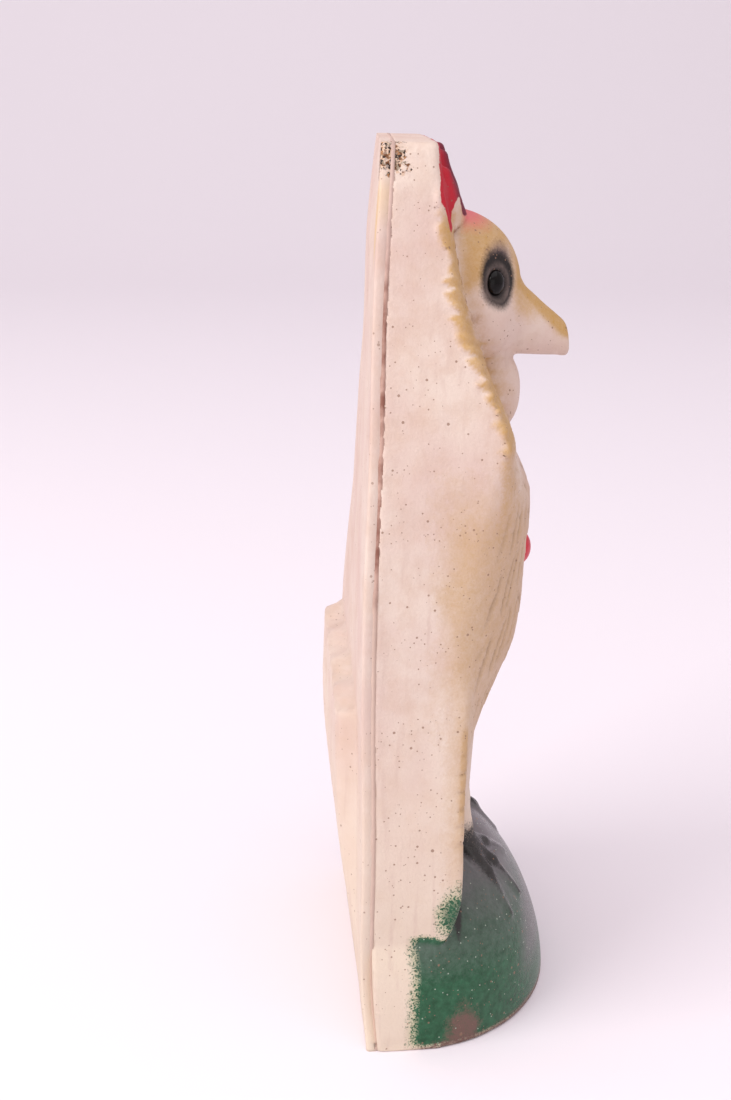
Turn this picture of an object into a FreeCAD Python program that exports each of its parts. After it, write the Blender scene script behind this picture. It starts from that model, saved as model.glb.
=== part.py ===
"""Squeaking rubber hen with a flat back, standing on a mound.

A hollow rubber relief moulding (front_shell) is closed by a thin moulded back (back_panel) whose lip
locates inside the rim, with a bead of cement between them. Two eyes and a chest stud are pressed in,
and a reed squeaker is pressed into the underside of the mound.

Millimetres. +Z is up and the hen faces -Y. The origin is on the floor, under the middle of the back.
"""

import FreeCAD, Part
import math
import os

import Sketcher

doc = FreeCAD.newDocument("rubber_hen")

# ---------------------------------------------------------------- sizes

SIZES = {
    # heights, each measured from the level below it
    "sole_to_knee": 45,
    "knee_to_hip": 30,
    "hip_to_belly": 33,
    "belly_to_breast": 30,
    "breast_to_throat": 22,
    "throat_to_brow": 32,
    "brow_to_crown": 27,
    # half width, depth of the plain side wall and depth at the middle, level by level
    "sole_half_width": 45, "sole_side_depth": 17, "sole_front_depth": 22,
    "knee_half_width": 42.5, "knee_side_depth": 19, "knee_front_depth": 23,
    "hip_half_width": 41, "hip_side_depth": 20.5, "hip_front_depth": 26,
    "belly_half_width": 39, "belly_side_depth": 22, "belly_front_depth": 38.5,
    "breast_half_width": 36, "breast_side_depth": 23, "breast_front_depth": 38.5,
    "throat_half_width": 31, "throat_side_depth": 20, "throat_front_depth": 29,
    "brow_half_width": 22, "brow_side_depth": 12.5, "brow_front_depth": 15.5,
    "crown_half_width": 14, "crown_side_depth": 11, "crown_front_depth": 12.5,
    # the back is slightly bowed, and leans forward at the crown
    "back_bow": 3,
    "crown_lean": 2,
    # moulding
    "wall": 3,
    "panel_thickness": 2.4,
    "cement_thickness": 0.4,
    "cement_clearance": 0.05,  # to the back panel's bowed face
    "lip_depth": 4,
    "lip_thickness": 1.8,
    "lip_clearance": 0.3,
    # head, beak, throat lobe and comb
    "throat_to_eye": 26,
    "head_half_width": 15.5,
    "head_half_depth": 18.5,
    "head_half_height": 17.5,
    "head_forward": 17,
    "beak_root_radius": 9.5,
    "beak_tip_radius": 3.6,
    "beak_length": 14,
    "beak_droop_degrees": 22,
    "lobe_half_width": 7,
    "lobe_half_depth": 8.4,
    "lobe_half_height": 9.5,
    "comb_half_width": 14,
    "comb_rise": 12,
    "comb_below_crown": 1.5,
    "comb_outer_fall": 3,
    "comb_depth": 18.5,
    "comb_lobe_radius": 3.5,
    # wings, legs and toes
    "wing_half_width": 9,
    "wing_half_depth": 11,
    "wing_half_height": 32,
    "wing_spread": 27,
    "leg_radius": 3.8,
    "leg_spread": 12,
    "toe_length": 18,
    "toe_root_radius": 2.9,
    "toe_tip_radius": 1.7,
    "toe_splay_degrees": 30,
    "toe_fall_degrees": 38,
    # mound
    "mound_side_depth": 14,
    "mound_front_depth": 50.5,
    "mound_dome_half_width": 54,
    "mound_rise": 47,
    "mound_middle": 10,
    # raised tail on the back
    "tail_inner_edge": 23,
    "tail_outer_edge": 38,
    "tail_bottom": 8,
    "tail_top": 84,
    "tail_proud": 5,
    # eyes and chest stud
    "eye_radius": 2.9,
    "eye_dome": 1.5,
    "eye_turn_degrees": 55,
    "stud_radius": 4.8,
    "stud_dome": 1.6,
    "stud_below_breast": 20,
    "shank_radius": 1.1,
    "shank_length": 4.5,
    # squeaker, pressed into a collar in the floor of the mound
    "squeaker_back": 25,
    "squeaker_recess": 1.2,
    "squeaker_radius": 11,
    "squeaker_wall": 1.2,
    "flange_radius": 12,
    "flange_thickness": 1,
    "barrel_height": 6.6,
    "collar_wall": 2.5,
    "collar_height": 6,
    "cap_thickness": 1.2,
    "vent_radius": 1,
    "vent_circle_radius": 6,
    "block_thickness": 2.2,
    "slot_width": 6.4,
    "slot_reach": 7,
    "reed_width": 5,
    "reed_free_length": 10,
    "reed_root_length": 2,
    "reed_thickness": 0.25,
    "reed_clearance": 0.12,
    "wedge_width": 8.4,
    "wedge_height": 1.6,
}

sheet = doc.addObject("Spreadsheet::Sheet", "Sizes")
for row, (alias, value) in enumerate(SIZES.items(), start=1):
    sheet.set(f"A{row}", alias)
    sheet.set(f"B{row}", str(value))
    sheet.setAlias(f"B{row}", alias)
doc.recompute()

LEVELS = ["sole", "knee", "hip", "belly", "breast", "throat", "brow", "crown"]
RISES = [
    "sole_to_knee", "knee_to_hip", "hip_to_belly", "belly_to_breast",
    "breast_to_throat", "throat_to_brow", "brow_to_crown",
]
BACK_REACH = 30  # stock behind the back face, which the bowed profile trims off
SIDE_REACH = 90  # half length of the bars that trim the moulding from side to side
FRONT_REACH = 90


def S(alias):
    """One size, as an expression."""
    return f"Sizes.{alias}"


def height_of(level):
    """The height of a level above the floor, as an expression."""
    below = RISES[: LEVELS.index(level)]
    return " + ".join(S(rise) for rise in below) or "0"


FIGURE_HEIGHT = height_of("crown")

# ---------------------------------------------------------------- small makers


def add(kind, name, **sizes):
    """A document object whose properties are bound to expressions."""
    made = doc.addObject(kind, name)
    for prop, expression in sizes.items():
        made.setExpression(prop.replace("__", "."), expression)
    return made


def place(made, x="0", y="0", z="0"):
    """Bind an object's position to expressions."""
    for axis, expression in zip("xyz", (x, y, z)):
        made.setExpression(f"Placement.Base.{axis}", expression)
    return made


def join(name, pieces):
    made = doc.addObject("Part::MultiFuse", name)
    made.Shapes = pieces
    return made


def cut(name, base, tool):
    made = doc.addObject("Part::Cut", name)
    made.Base, made.Tool = base, tool
    return made


def common(name, first, second):
    made = doc.addObject("Part::Common", name)
    made.Base, made.Tool = first, second
    return made


def extrude(name, sketch, length, both_ways=False):
    made = doc.addObject("Part::Extrusion", name)
    made.Base = sketch
    made.DirMode = "Normal"
    made.Solid = True
    made.Symmetric = both_ways
    made.setExpression("LengthFwd", length)
    return made


def ellipsoid(name, half_width, half_depth, half_height, x, y, z):
    made = add("Part::Ellipsoid", name, Radius1=half_height, Radius2=half_width, Radius3=half_depth)
    made.Angle1, made.Angle2, made.Angle3 = -90, 90, 360
    return place(made, x, y, z)


def turn(made, axis, degrees):
    """Turn an object about one of its own axes by an expression in degrees."""
    made.Placement.Rotation = FreeCAD.Rotation(FreeCAD.Vector(*axis), 1)
    made.setExpression("Placement.Rotation.Angle", degrees)
    return made


def point(x, y):
    return FreeCAD.Vector(x, y, 0)


def dimension(sketch, name, kind, *where_and_value):
    """A named driving dimension of a sketch."""
    index = sketch.addConstraint(Sketcher.Constraint(kind, *where_and_value))
    sketch.renameConstraint(index, name)


ORIGIN, START, END = (-1, 1), 1, 2
Y_AXIS = -2


def polygon(sketch, corners):
    """A closed run of lines through the corners, joined end to end."""
    count = len(corners)
    for i, corner in enumerate(corners):
        sketch.addGeometry(Part.LineSegment(point(*corner), point(*corners[(i + 1) % count])), False)
    for i in range(count):
        sketch.addConstraint(Sketcher.Constraint("Coincident", i, END, (i + 1) % count, START))


# ---------------------------------------------------------------- D-shaped outline of the hen


def d_section(name, half_width, side_depth, front_depth, z):
    """A flat-backed section with plain sides and a round front, at a height."""
    sketch = doc.addObject("Sketcher::SketchObject", name)
    w, s, f, b = 30, 15, 25, BACK_REACH
    sketch.addGeometry(Part.LineSegment(point(-w, b), point(w, b)), False)
    sketch.addGeometry(Part.LineSegment(point(w, b), point(w, -s)), False)
    sketch.addGeometry(Part.Arc(point(w, -s), point(0, -f), point(-w, -s)), False)
    sketch.addGeometry(Part.LineSegment(point(-w, -s), point(-w, b)), False)
    sketch.addGeometry(Part.Point(point(0, -f)), True)
    # the arc runs anticlockwise, so its start is on the left
    for pair in ((0, END, 1, START), (1, END, 2, END), (2, START, 3, START), (3, END, 0, START)):
        sketch.addConstraint(Sketcher.Constraint("Coincident", *pair))
    sketch.addConstraint(Sketcher.Constraint("Horizontal", 0))
    sketch.addConstraint(Sketcher.Constraint("Vertical", 1))
    sketch.addConstraint(Sketcher.Constraint("Vertical", 3))
    sketch.addConstraint(Sketcher.Constraint("Symmetric", 1, END, 3, START, Y_AXIS))
    sketch.addConstraint(Sketcher.Constraint("PointOnObject", 4, 1, 2))
    sketch.addConstraint(Sketcher.Constraint("PointOnObject", 4, 1, Y_AXIS))
    dimension(sketch, "half_width", "DistanceX", *ORIGIN, 1, END, w)
    dimension(sketch, "side_depth", "DistanceY", 1, END, *ORIGIN, s)
    dimension(sketch, "front_depth", "DistanceY", 4, 1, *ORIGIN, f)
    dimension(sketch, "back_reach", "DistanceY", *ORIGIN, 1, START, b)
    sketch.setExpression("Constraints.half_width", half_width)
    sketch.setExpression("Constraints.side_depth", side_depth)
    sketch.setExpression("Constraints.front_depth", front_depth)
    return place(sketch, z=z)


def hen_block(name, inset="0", floor="0"):
    """The hen's outline from sole to crown, set in from its surface by an expression."""
    sections = []
    for level in LEVELS:
        z = height_of(level)
        if level == "sole":
            z = floor
        if level == "crown":
            z = f"{z} - ({inset})"
        names = ("half_width", "side_depth", "front_depth")
        widths = [f"{S(f'{level}_{size}')} - ({inset})" for size in names]
        sections.append(d_section(f"{name}_{level}", *widths, z))
    loft = doc.addObject("Part::Loft", name)
    loft.Sections = sections
    loft.Solid = True
    loft.Ruled = False
    return loft


def in_front_of_back(name, forward):
    """A bar from side to side whose rear is the bowed back face, moved forward by an expression."""
    sketch = doc.addObject("Sketcher::SketchObject", f"{name}_profile")
    bottom, top, front = -10, 260, -FRONT_REACH
    sketch.addGeometry(Part.LineSegment(point(0, top), point(front, top)), False)
    sketch.addGeometry(Part.LineSegment(point(front, top), point(front, bottom)), False)
    sketch.addGeometry(Part.LineSegment(point(front, bottom), point(0, bottom)), False)
    sketch.addGeometry(Part.Arc(point(0, bottom), point(3, 110), point(0, top)), False)
    sketch.addGeometry(Part.Point(point(0, 0)), True)
    sketch.addGeometry(Part.Point(point(3, 110)), True)
    sketch.addGeometry(Part.Point(point(-2, 219)), True)
    for pair in ((0, END, 1, START), (1, END, 2, START), (2, END, 3, START), (3, END, 0, START)):
        sketch.addConstraint(Sketcher.Constraint("Coincident", *pair))
    sketch.addConstraint(Sketcher.Constraint("Horizontal", 0))
    sketch.addConstraint(Sketcher.Constraint("Vertical", 1))
    sketch.addConstraint(Sketcher.Constraint("Horizontal", 2))
    for mark in (4, 5, 6):
        sketch.addConstraint(Sketcher.Constraint("PointOnObject", mark, 1, 3))
    # the arc passes through a mark at the floor, one at mid height and one at the crown
    dimension(sketch, "floor_mark_y", "DistanceX", 4, 1, *ORIGIN, 0.1)
    dimension(sketch, "floor_mark_z", "DistanceY", 4, 1, *ORIGIN, 0)
    dimension(sketch, "bow_y", "DistanceX", 4, 1, 5, 1, 3)
    dimension(sketch, "bow_z", "DistanceY", 4, 1, 5, 1, 110)
    dimension(sketch, "crown_y", "DistanceX", 6, 1, 4, 1, 2)
    dimension(sketch, "crown_z", "DistanceY", 4, 1, 6, 1, 219)
    dimension(sketch, "top", "DistanceY", 6, 1, 0, START, 40)
    dimension(sketch, "bottom", "DistanceY", 2, START, 4, 1, 10)
    dimension(sketch, "front", "DistanceX", 1, START, 4, 1, 90)
    sketch.setExpression("Constraints.floor_mark_y", forward)
    sketch.setExpression("Constraints.bow_y", S("back_bow"))
    sketch.setExpression("Constraints.bow_z", f"({FIGURE_HEIGHT}) / 2")
    sketch.setExpression("Constraints.crown_y", S("crown_lean"))
    sketch.setExpression("Constraints.crown_z", FIGURE_HEIGHT)
    # sketch X runs along row Y, and sketch Y along row Z
    sketch.Placement.Rotation = FreeCAD.Rotation(FreeCAD.Vector(1, 1, 1), 120)
    return extrude(name, sketch, f"{2 * SIDE_REACH}", both_ways=True)


SEAT = f"{S('panel_thickness')} + {S('cement_thickness')}"  # back face to the shell's rim
INNER = S("wall")
LIP_OUTER = f"{S('wall')} + {S('lip_clearance')}"
LIP_INNER = f"{LIP_OUTER} + {S('lip_thickness')}"

outline = hen_block("outline")
hollow = hen_block("hollow", INNER, floor=S("wall"))
lip_outside = hen_block("lip_outside", LIP_OUTER, floor=LIP_OUTER)
lip_inside = hen_block("lip_inside", LIP_INNER, floor=LIP_INNER)

FLUSH = "0.0001"  # as good as nothing, where a sketch can't take a distance of 0
whole_depth = in_front_of_back("whole_depth", FLUSH)
behind_panel = in_front_of_back("behind_panel", S("panel_thickness"))
behind_rim = in_front_of_back("behind_rim", SEAT)
behind_lip = in_front_of_back("behind_lip", f"{SEAT} + {S('lip_depth')}")

# ---------------------------------------------------------------- mound


def mound_block(name, inset="0", floor="0"):
    """A straight-sided D-shaped plinth with a domed top."""
    foot = d_section(
        f"{name}_foot",
        f"{S('sole_half_width')} - ({inset})",
        f"{S('mound_side_depth')} - ({inset})",
        f"{S('mound_front_depth')} - ({inset})",
        floor,
    )
    plinth = extrude(f"{name}_plinth", foot, S("mound_rise"))
    # made sideways and turned, so that the ball's own seam lies at the rear, behind the back panel
    dome = ellipsoid(
        f"{name}_dome",
        f"{S('mound_front_depth')} - {S('mound_middle')} - ({inset}) + 0.2",
        f"{S('mound_dome_half_width')} - ({inset})",
        f"{S('mound_rise')} - ({inset})",
        "0", f"-{S('mound_middle')}", "0",
    )
    turn(dome, (0, 0, 1), "90")
    return common(name, plinth, dome)


mound = mound_block("mound")
mound_hollow = mound_block("mound_hollow", INNER, floor=S("wall"))

# ---------------------------------------------------------------- head, beak, throat lobe and comb

EYE_LEVEL = f"{height_of('throat')} + {S('throat_to_eye')}"
HEAD_Y = f"-{S('head_forward')}"


def head_block(name, inset):
    return ellipsoid(
        name,
        f"{S('head_half_width')} - ({inset})",
        f"{S('head_half_depth')} - ({inset})",
        f"{S('head_half_height')} - ({inset})",
        "0", HEAD_Y, EYE_LEVEL,
    )


head = head_block("head", "0")
head_hollow = head_block("head_hollow", INNER)

beak = add(
    "Part::Cone", "beak", Radius1=S("beak_root_radius"), Radius2=S("beak_tip_radius"), Height=S("beak_length")
)
BEAK_Z = f"{EYE_LEVEL} - {S('beak_root_radius')}"
place(beak, y=f"{HEAD_Y} - {S('head_half_depth')} + {S('wall')}", z=BEAK_Z)
turn(beak, (1, 0, 0), f"90 + {S('beak_droop_degrees')}")

throat_lobe = ellipsoid(
    "throat_lobe", S("lobe_half_width"), S("lobe_half_depth"), S("lobe_half_height"),
    "0", f"{HEAD_Y} - {S('head_half_depth')} + {S('lobe_half_depth')} - 0.8", f"{height_of('throat')} - 2",
)

comb_sketch = doc.addObject("Sketcher::SketchObject", "comb_outline")
polygon(comb_sketch, [(-14, -12), (14, -12), (14, -5), (-14, -5)])
comb_sketch.addConstraint(Sketcher.Constraint("Horizontal", 0))
for side in (1, 3):
    comb_sketch.addConstraint(Sketcher.Constraint("Vertical", side))
comb_sketch.addConstraint(Sketcher.Constraint("Symmetric", 1, END, 2, END, Y_AXIS))
dimension(comb_sketch, "half_width", "DistanceX", *ORIGIN, 1, END, 14)
dimension(comb_sketch, "lobe_line", "DistanceY", 1, END, *ORIGIN, 5)
dimension(comb_sketch, "foot_line", "DistanceY", 1, START, 1, END, 7)
comb_sketch.setExpression("Constraints.half_width", f"{S('comb_half_width')} - {S('comb_lobe_radius')}")
comb_sketch.setExpression(
    "Constraints.lobe_line", f"{S('comb_below_crown')} + {S('comb_outer_fall')} + {S('comb_lobe_radius')}"
)
comb_sketch.setExpression("Constraints.foot_line", S("comb_rise"))
turn(comb_sketch, (1, 0, 0), "90")
place(comb_sketch, z=FIGURE_HEIGHT)
COMB_LOBES = 5
comb_parts = [extrude("comb_web", comb_sketch, S("comb_depth"))]
for i in range(COMB_LOBES):
    across = i / (COMB_LOBES - 1) * 2 - 1
    lobe = add("Part::Cylinder", f"comb_lobe_{i + 1}", Radius=S("comb_lobe_radius"), Height=S("comb_depth"))
    turn(lobe, (1, 0, 0), "90")
    drop = f"{S('comb_below_crown')} + {S('comb_lobe_radius')} + {S('comb_outer_fall')} * {abs(across):.2f}"
    comb_parts.append(
        place(
            lobe,
            f"({S('comb_half_width')} - {S('comb_lobe_radius')}) * {across:.2f}",
            "0",
            f"{FIGURE_HEIGHT} - ({drop})",
        )
    )
comb = join("comb", comb_parts)

# ---------------------------------------------------------------- wings, legs and toes

relief = [head, beak, throat_lobe, comb, mound]
for side, sign in (("right", -1), ("left", 1)):
    relief.append(
        ellipsoid(
            f"wing_{side}", S("wing_half_width"), S("wing_half_depth"), S("wing_half_height"),
            f"{sign} * {S('wing_spread')}", f"-{S('belly_side_depth')}", height_of("belly"),
        )
    )
    leg_x = f"{sign} * {S('leg_spread')}"
    leg_y = f"-({S('knee_front_depth')} - 1)"
    leg = add(
        "Part::Cylinder", f"leg_{side}", Radius=S("leg_radius"),
        Height=f"{height_of('belly')} - ({height_of('knee')}) - {S('leg_radius')}",
    )
    relief.append(place(leg, leg_x, leg_y, f"{height_of('knee')} - {S('leg_radius')} * 2"))
    for toe_name, splay in (("inner", -1), ("middle", 0), ("outer", 1)):
        toe = add(
            "Part::Cone", f"toe_{side}_{toe_name}", Radius1=S("toe_root_radius"),
            Radius2=S("toe_tip_radius"), Height=S("toe_length"),
        )
        place(toe, leg_x, leg_y, f"{S('mound_rise')} - {S('leg_radius')}")
        fall = SIZES["toe_fall_degrees"]
        yaw = SIZES["toe_splay_degrees"] * splay * sign
        toe.Placement.Rotation = FreeCAD.Rotation(yaw, 0, 90 + fall)
        relief.append(toe)

# ---------------------------------------------------------------- squeaker seat in the floor

SQUEAKER_Y = f"-{S('squeaker_back')}"
FLANGE_TOP = f"{S('squeaker_recess')} + {S('flange_thickness')}"

collar = add(
    "Part::Cylinder", "collar", Radius=f"{S('squeaker_radius')} + {S('collar_wall')}",
    Height=f"{S('wall')} + {S('collar_height')}",
)
place(collar, y=SQUEAKER_Y)
barrel_hole = add(
    "Part::Cylinder", "barrel_hole", Radius=S("squeaker_radius"),
    Height=f"{S('wall')} * 2 + {S('collar_height')}",
)
place(barrel_hole, y=SQUEAKER_Y, z=f"-{S('wall')}")
flange_seat = add(
    "Part::Cylinder", "flange_seat", Radius=S("flange_radius"), Height=f"{FLANGE_TOP} + {S('wall')}"
)
place(flange_seat, y=SQUEAKER_Y, z=f"-{S('wall')}")

# ---------------------------------------------------------------- pressed-in eyes and chest stud


def press_button(name, head_radius, dome):
    """A domed head on a straight shank, revolved about its own Z axis, head outwards at +Z."""
    body = doc.addObject("PartDesign::Body", name)
    body.Label = name
    sketch = body.newObject("Sketcher::SketchObject", f"{name}_profile")
    plane = [f for f in body.Origin.OriginFeatures if f.Role == "XZ_Plane"][0]
    sketch.AttachmentSupport = [(plane, "")]
    sketch.MapMode = "FlatFace"
    sketch.addGeometry(Part.LineSegment(point(0, -4), point(1, -4)), False)
    sketch.addGeometry(Part.LineSegment(point(1, -4), point(1, 0)), False)
    sketch.addGeometry(Part.LineSegment(point(1, 0), point(3, 0)), False)
    sketch.addGeometry(Part.Arc(point(3, 0), point(2, 1), point(0, 1.5)), False)
    sketch.addGeometry(Part.LineSegment(point(0, 1.5), point(0, -4)), False)
    for pair in [(line, END, (line + 1) % 5, START) for line in range(5)]:
        sketch.addConstraint(Sketcher.Constraint("Coincident", *pair))
    sketch.addConstraint(Sketcher.Constraint("Horizontal", 0))
    sketch.addConstraint(Sketcher.Constraint("Vertical", 1))
    sketch.addConstraint(Sketcher.Constraint("Horizontal", 2))
    sketch.addConstraint(Sketcher.Constraint("PointOnObject", 4, START, Y_AXIS))
    sketch.addConstraint(Sketcher.Constraint("PointOnObject", 4, END, Y_AXIS))
    sketch.addConstraint(Sketcher.Constraint("PointOnObject", 2, START, -1))
    # the dome's centre is on the axis, so that it closes smoothly
    sketch.addConstraint(Sketcher.Constraint("PointOnObject", 3, 3, Y_AXIS))
    dimension(sketch, "shank_radius", "DistanceX", *ORIGIN, 1, END, 1)
    dimension(sketch, "shank_length", "DistanceY", 0, END, *ORIGIN, 4)
    dimension(sketch, "head_radius", "DistanceX", *ORIGIN, 2, END, 3)
    dimension(sketch, "dome", "DistanceY", *ORIGIN, 3, END, 1.5)
    sketch.setExpression("Constraints.shank_radius", S("shank_radius"))
    sketch.setExpression("Constraints.shank_length", S("shank_length"))
    sketch.setExpression("Constraints.head_radius", head_radius)
    sketch.setExpression("Constraints.dome", dome)
    turned = body.newObject("PartDesign::Revolution", f"{name}_turned")
    turned.Profile = sketch
    turned.ReferenceAxis = (sketch, ["V_Axis"])
    turned.Angle = 360
    return body


def button_seat(name, x, y, z, rotation, head_radius):
    """The counterbore and shank hole that a pressed-in button leaves in the rubber."""
    seat = add("Part::Cylinder", f"{name}_counterbore", Radius=head_radius, Height=S("wall"))
    hole = add(
        "Part::Cylinder", f"{name}_hole", Radius=S("shank_radius"),
        Height=f"{S('shank_length')} + {S('wall')}",
    )
    seat.Placement.Rotation = rotation
    hole.Placement.Rotation = rotation
    place(seat, x, y, z)
    outward = rotation.multVec(FreeCAD.Vector(0, 0, 1))
    back = f"({S('shank_length')})"
    place(
        hole,
        f"{x} - {back} * {outward.x:.6f}",
        f"{y} - {back} * {outward.y:.6f}",
        f"{z} - {back} * {outward.z:.6f}",
    )
    return [seat, hole]


def outward_turn(sideways_degrees):
    """Turns local +Z to face forward (-Y), then sideways by an angle towards +X."""
    return FreeCAD.Rotation(FreeCAD.Vector(0, 0, 1), sideways_degrees).multiply(
        FreeCAD.Rotation(FreeCAD.Vector(1, 0, 0), 90)
    )


seats = []
buttons = []
EYE_TURN = SIZES["eye_turn_degrees"]
for side, sign in (("left", 1), ("right", -1)):
    # the seat's floor lies a little under the surface of the round head
    rotation = outward_turn(sign * EYE_TURN)
    out_x, out_y = math.sin(math.radians(EYE_TURN)), math.cos(math.radians(EYE_TURN))
    reach = (
        f"({S('head_half_width')} * {S('head_half_depth')} / sqrt(({S('head_half_depth')} * {out_x:.6f}) ^ 2"
        f" + ({S('head_half_width')} * {out_y:.6f}) ^ 2) - {S('eye_dome')} * 0.7)"
    )
    x = f"{sign} * {reach} * {out_x:.6f}"
    y = f"{HEAD_Y} - {reach} * {out_y:.6f}"
    z = EYE_LEVEL
    seats += button_seat(f"eye_{side}_seat", x, y, z, rotation, S("eye_radius"))
    eye = press_button(f"eye_{side}", S("eye_radius"), S("eye_dome"))
    eye.Placement.Rotation = rotation
    buttons.append(place(eye, x, y, z))

stud_y = f"-({S('breast_front_depth')} - {S('stud_dome')} * 0.3)"
stud_z = f"{height_of('breast')} - {S('stud_below_breast')}"
seats += button_seat("chest_seat", "0", stud_y, stud_z, outward_turn(0), S("stud_radius"))
stud = press_button("chest_stud", S("stud_radius"), S("stud_dome"))
stud.Placement.Rotation = outward_turn(0)
buttons.append(place(stud, "0", stud_y, stud_z))

# ---------------------------------------------------------------- front shell

rounded = join("relief_block", [outline] + relief)
trimmed = common("front_trimmed", rounded, behind_rim)
emptied = cut("front_emptied", trimmed, join("front_hollow", [hollow, head_hollow, mound_hollow]))
collared = join("front_collared", [emptied, collar])
front_shell = cut("front_shell", collared, join("front_holes", [barrel_hole, flange_seat] + seats))

# ---------------------------------------------------------------- cement and back panel

ring = cut("cement_ring", outline, hollow)
behind_cement = in_front_of_back("behind_cement", f"{S('panel_thickness')} + {S('cement_clearance')}")
between = cut("cement_gap", behind_cement, behind_rim)
seam_cement = common("seam_cement", ring, between)

plate = common("panel_plate", outline, cut("panel_slab", whole_depth, behind_panel))
lip_ring = cut("lip_ring", lip_outside, lip_inside)
lip = common("panel_lip", lip_ring, cut("lip_slab", behind_panel, behind_lip))


def tail_block(name, inset):
    """A raised tail with a swelling rear face, set in from its surface by an expression."""
    sketch = doc.addObject("Sketcher::SketchObject", f"{name}_outline")
    polygon(sketch, [(-23, 8), (38, 8), (38, 84), (-23, 84)])
    for line in (0, 2):
        sketch.addConstraint(Sketcher.Constraint("Horizontal", line))
    for line in (1, 3):
        sketch.addConstraint(Sketcher.Constraint("Vertical", line))
    dimension(sketch, "inner_edge", "DistanceX", 0, START, *ORIGIN, 23)
    dimension(sketch, "outer_edge", "DistanceX", *ORIGIN, 0, END, 38)
    dimension(sketch, "bottom", "DistanceY", *ORIGIN, 0, START, 8)
    dimension(sketch, "top", "DistanceY", *ORIGIN, 2, START, 84)
    sketch.setExpression("Constraints.inner_edge", f"{S('tail_inner_edge')} - ({inset})")
    sketch.setExpression("Constraints.outer_edge", f"{S('tail_outer_edge')} - ({inset})")
    sketch.setExpression("Constraints.bottom", f"{S('tail_bottom')} + ({inset})")
    sketch.setExpression("Constraints.top", f"{S('tail_top')} - ({inset})")
    turn(sketch, (1, 0, 0), "90")
    place(sketch, y=f"{S('back_bow')} + {S('tail_proud')}")
    reach_in = f"{S('back_bow')} + {S('tail_proud')} + {S('panel_thickness')} / 2 + ({inset})"
    bar = extrude(f"{name}_bar", sketch, reach_in)
    # an arc that falls by the tail's height off the back over the distance from its crest to its foot
    reach = f"({S('tail_top')} - {S('tail_bottom')})"
    radius = f"({reach} ^ 2 / {S('tail_proud')} / 2 + {S('tail_proud')}) / 2"
    swell = add(
        "Part::Cylinder", f"{name}_swell", Height=f"{2 * SIDE_REACH}", Radius=f"{radius} - ({inset})"
    )
    swell.Placement.Rotation = FreeCAD.Rotation(FreeCAD.Vector(0, 1, 0), 90)
    crest = f"({S('tail_top')} * 2 + {S('tail_bottom')}) / 3"
    place(swell, f"-{SIDE_REACH}", f"{S('back_bow')} + {S('tail_proud')} - ({radius})", crest)
    return common(name, bar, swell)


tail = cut("tail_on_panel", tail_block("tail", "0"), behind_panel)
tail_hollow = tail_block("tail_hollow", S("panel_thickness"))
back_panel = cut("back_panel", join("panel_solid", [plate, lip, tail]), tail_hollow)

# ---------------------------------------------------------------- squeaker


def design_body(name, y=SQUEAKER_Y, z="0"):
    body = doc.addObject("PartDesign::Body", name)
    body.Label = name
    return place(body, y=y, z=z)


def body_sketch(body, name, role="XY_Plane"):
    sketch = body.newObject("Sketcher::SketchObject", name)
    plane = [f for f in body.Origin.OriginFeatures if f.Role == role][0]
    sketch.AttachmentSupport = [(plane, "")]
    sketch.MapMode = "FlatFace"
    return sketch


def circle(sketch, name, radius, x=0.0, y=0.0):
    """A circle with a driving radius, returned as its geometry index."""
    index = sketch.addGeometry(Part.Circle(point(x, y), FreeCAD.Vector(0, 0, 1), 1), False)
    dimension(sketch, name, "Radius", index, 1.0)
    sketch.setExpression(f"Constraints.{name}", radius)
    return index


def rectangle(sketch, half_width, low, high):
    """A rectangle centred on the sketch's Y axis, from low to high (expressions, low < 0 < high)."""
    first = sketch.GeometryCount
    corners = [(-3, -5), (3, -5), (3, 5), (-3, 5)]
    for i, corner in enumerate(corners):
        sketch.addGeometry(Part.LineSegment(point(*corner), point(*corners[(i + 1) % 4])), False)
    for i in range(4):
        sketch.addConstraint(Sketcher.Constraint("Coincident", first + i, END, first + (i + 1) % 4, START))
    sketch.addConstraint(Sketcher.Constraint("Vertical", first + 1))
    sketch.addConstraint(Sketcher.Constraint("Symmetric", first, START, first, END, Y_AXIS))
    sketch.addConstraint(Sketcher.Constraint("Symmetric", first + 2, START, first + 2, END, Y_AXIS))
    dimension(sketch, "half_width", "DistanceX", *ORIGIN, first + 1, START, 3)
    dimension(sketch, "low", "DistanceY", first + 1, START, *ORIGIN, 5)
    dimension(sketch, "high", "DistanceY", *ORIGIN, first + 1, END, 5)
    sketch.setExpression("Constraints.half_width", half_width)
    sketch.setExpression("Constraints.low", low)
    sketch.setExpression("Constraints.high", high)


def pad(body, sketch, length, name):
    made = body.newObject("PartDesign::Pad", name)
    made.Profile = sketch
    made.setExpression("Length", length)
    return made


def vents(body, top, count, name):
    """A ring of air holes through a disc, as one pocket repeated about the axis."""
    sketch = body_sketch(body, f"{name}_sketch")
    index = circle(sketch, "vent_radius", S("vent_radius"), x=6)
    sketch.addConstraint(Sketcher.Constraint("PointOnObject", index, 3, -1))
    dimension(sketch, "vent_circle", "DistanceX", *ORIGIN, index, 3, 6)
    sketch.setExpression("Constraints.vent_circle", S("vent_circle_radius"))
    pocket = body.newObject("PartDesign::Pocket", name)
    pocket.Profile = sketch
    pocket.Reversed = True
    pocket.setExpression("Length", top)
    pattern = body.newObject("PartDesign::PolarPattern", f"{name}_ring")
    pattern.Originals = [pocket]
    pattern.Axis = (sketch, ["N_Axis"])
    pattern.Angle = 360
    pattern.Occurrences = count
    body.Tip = pattern


VENTS = 6

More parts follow.
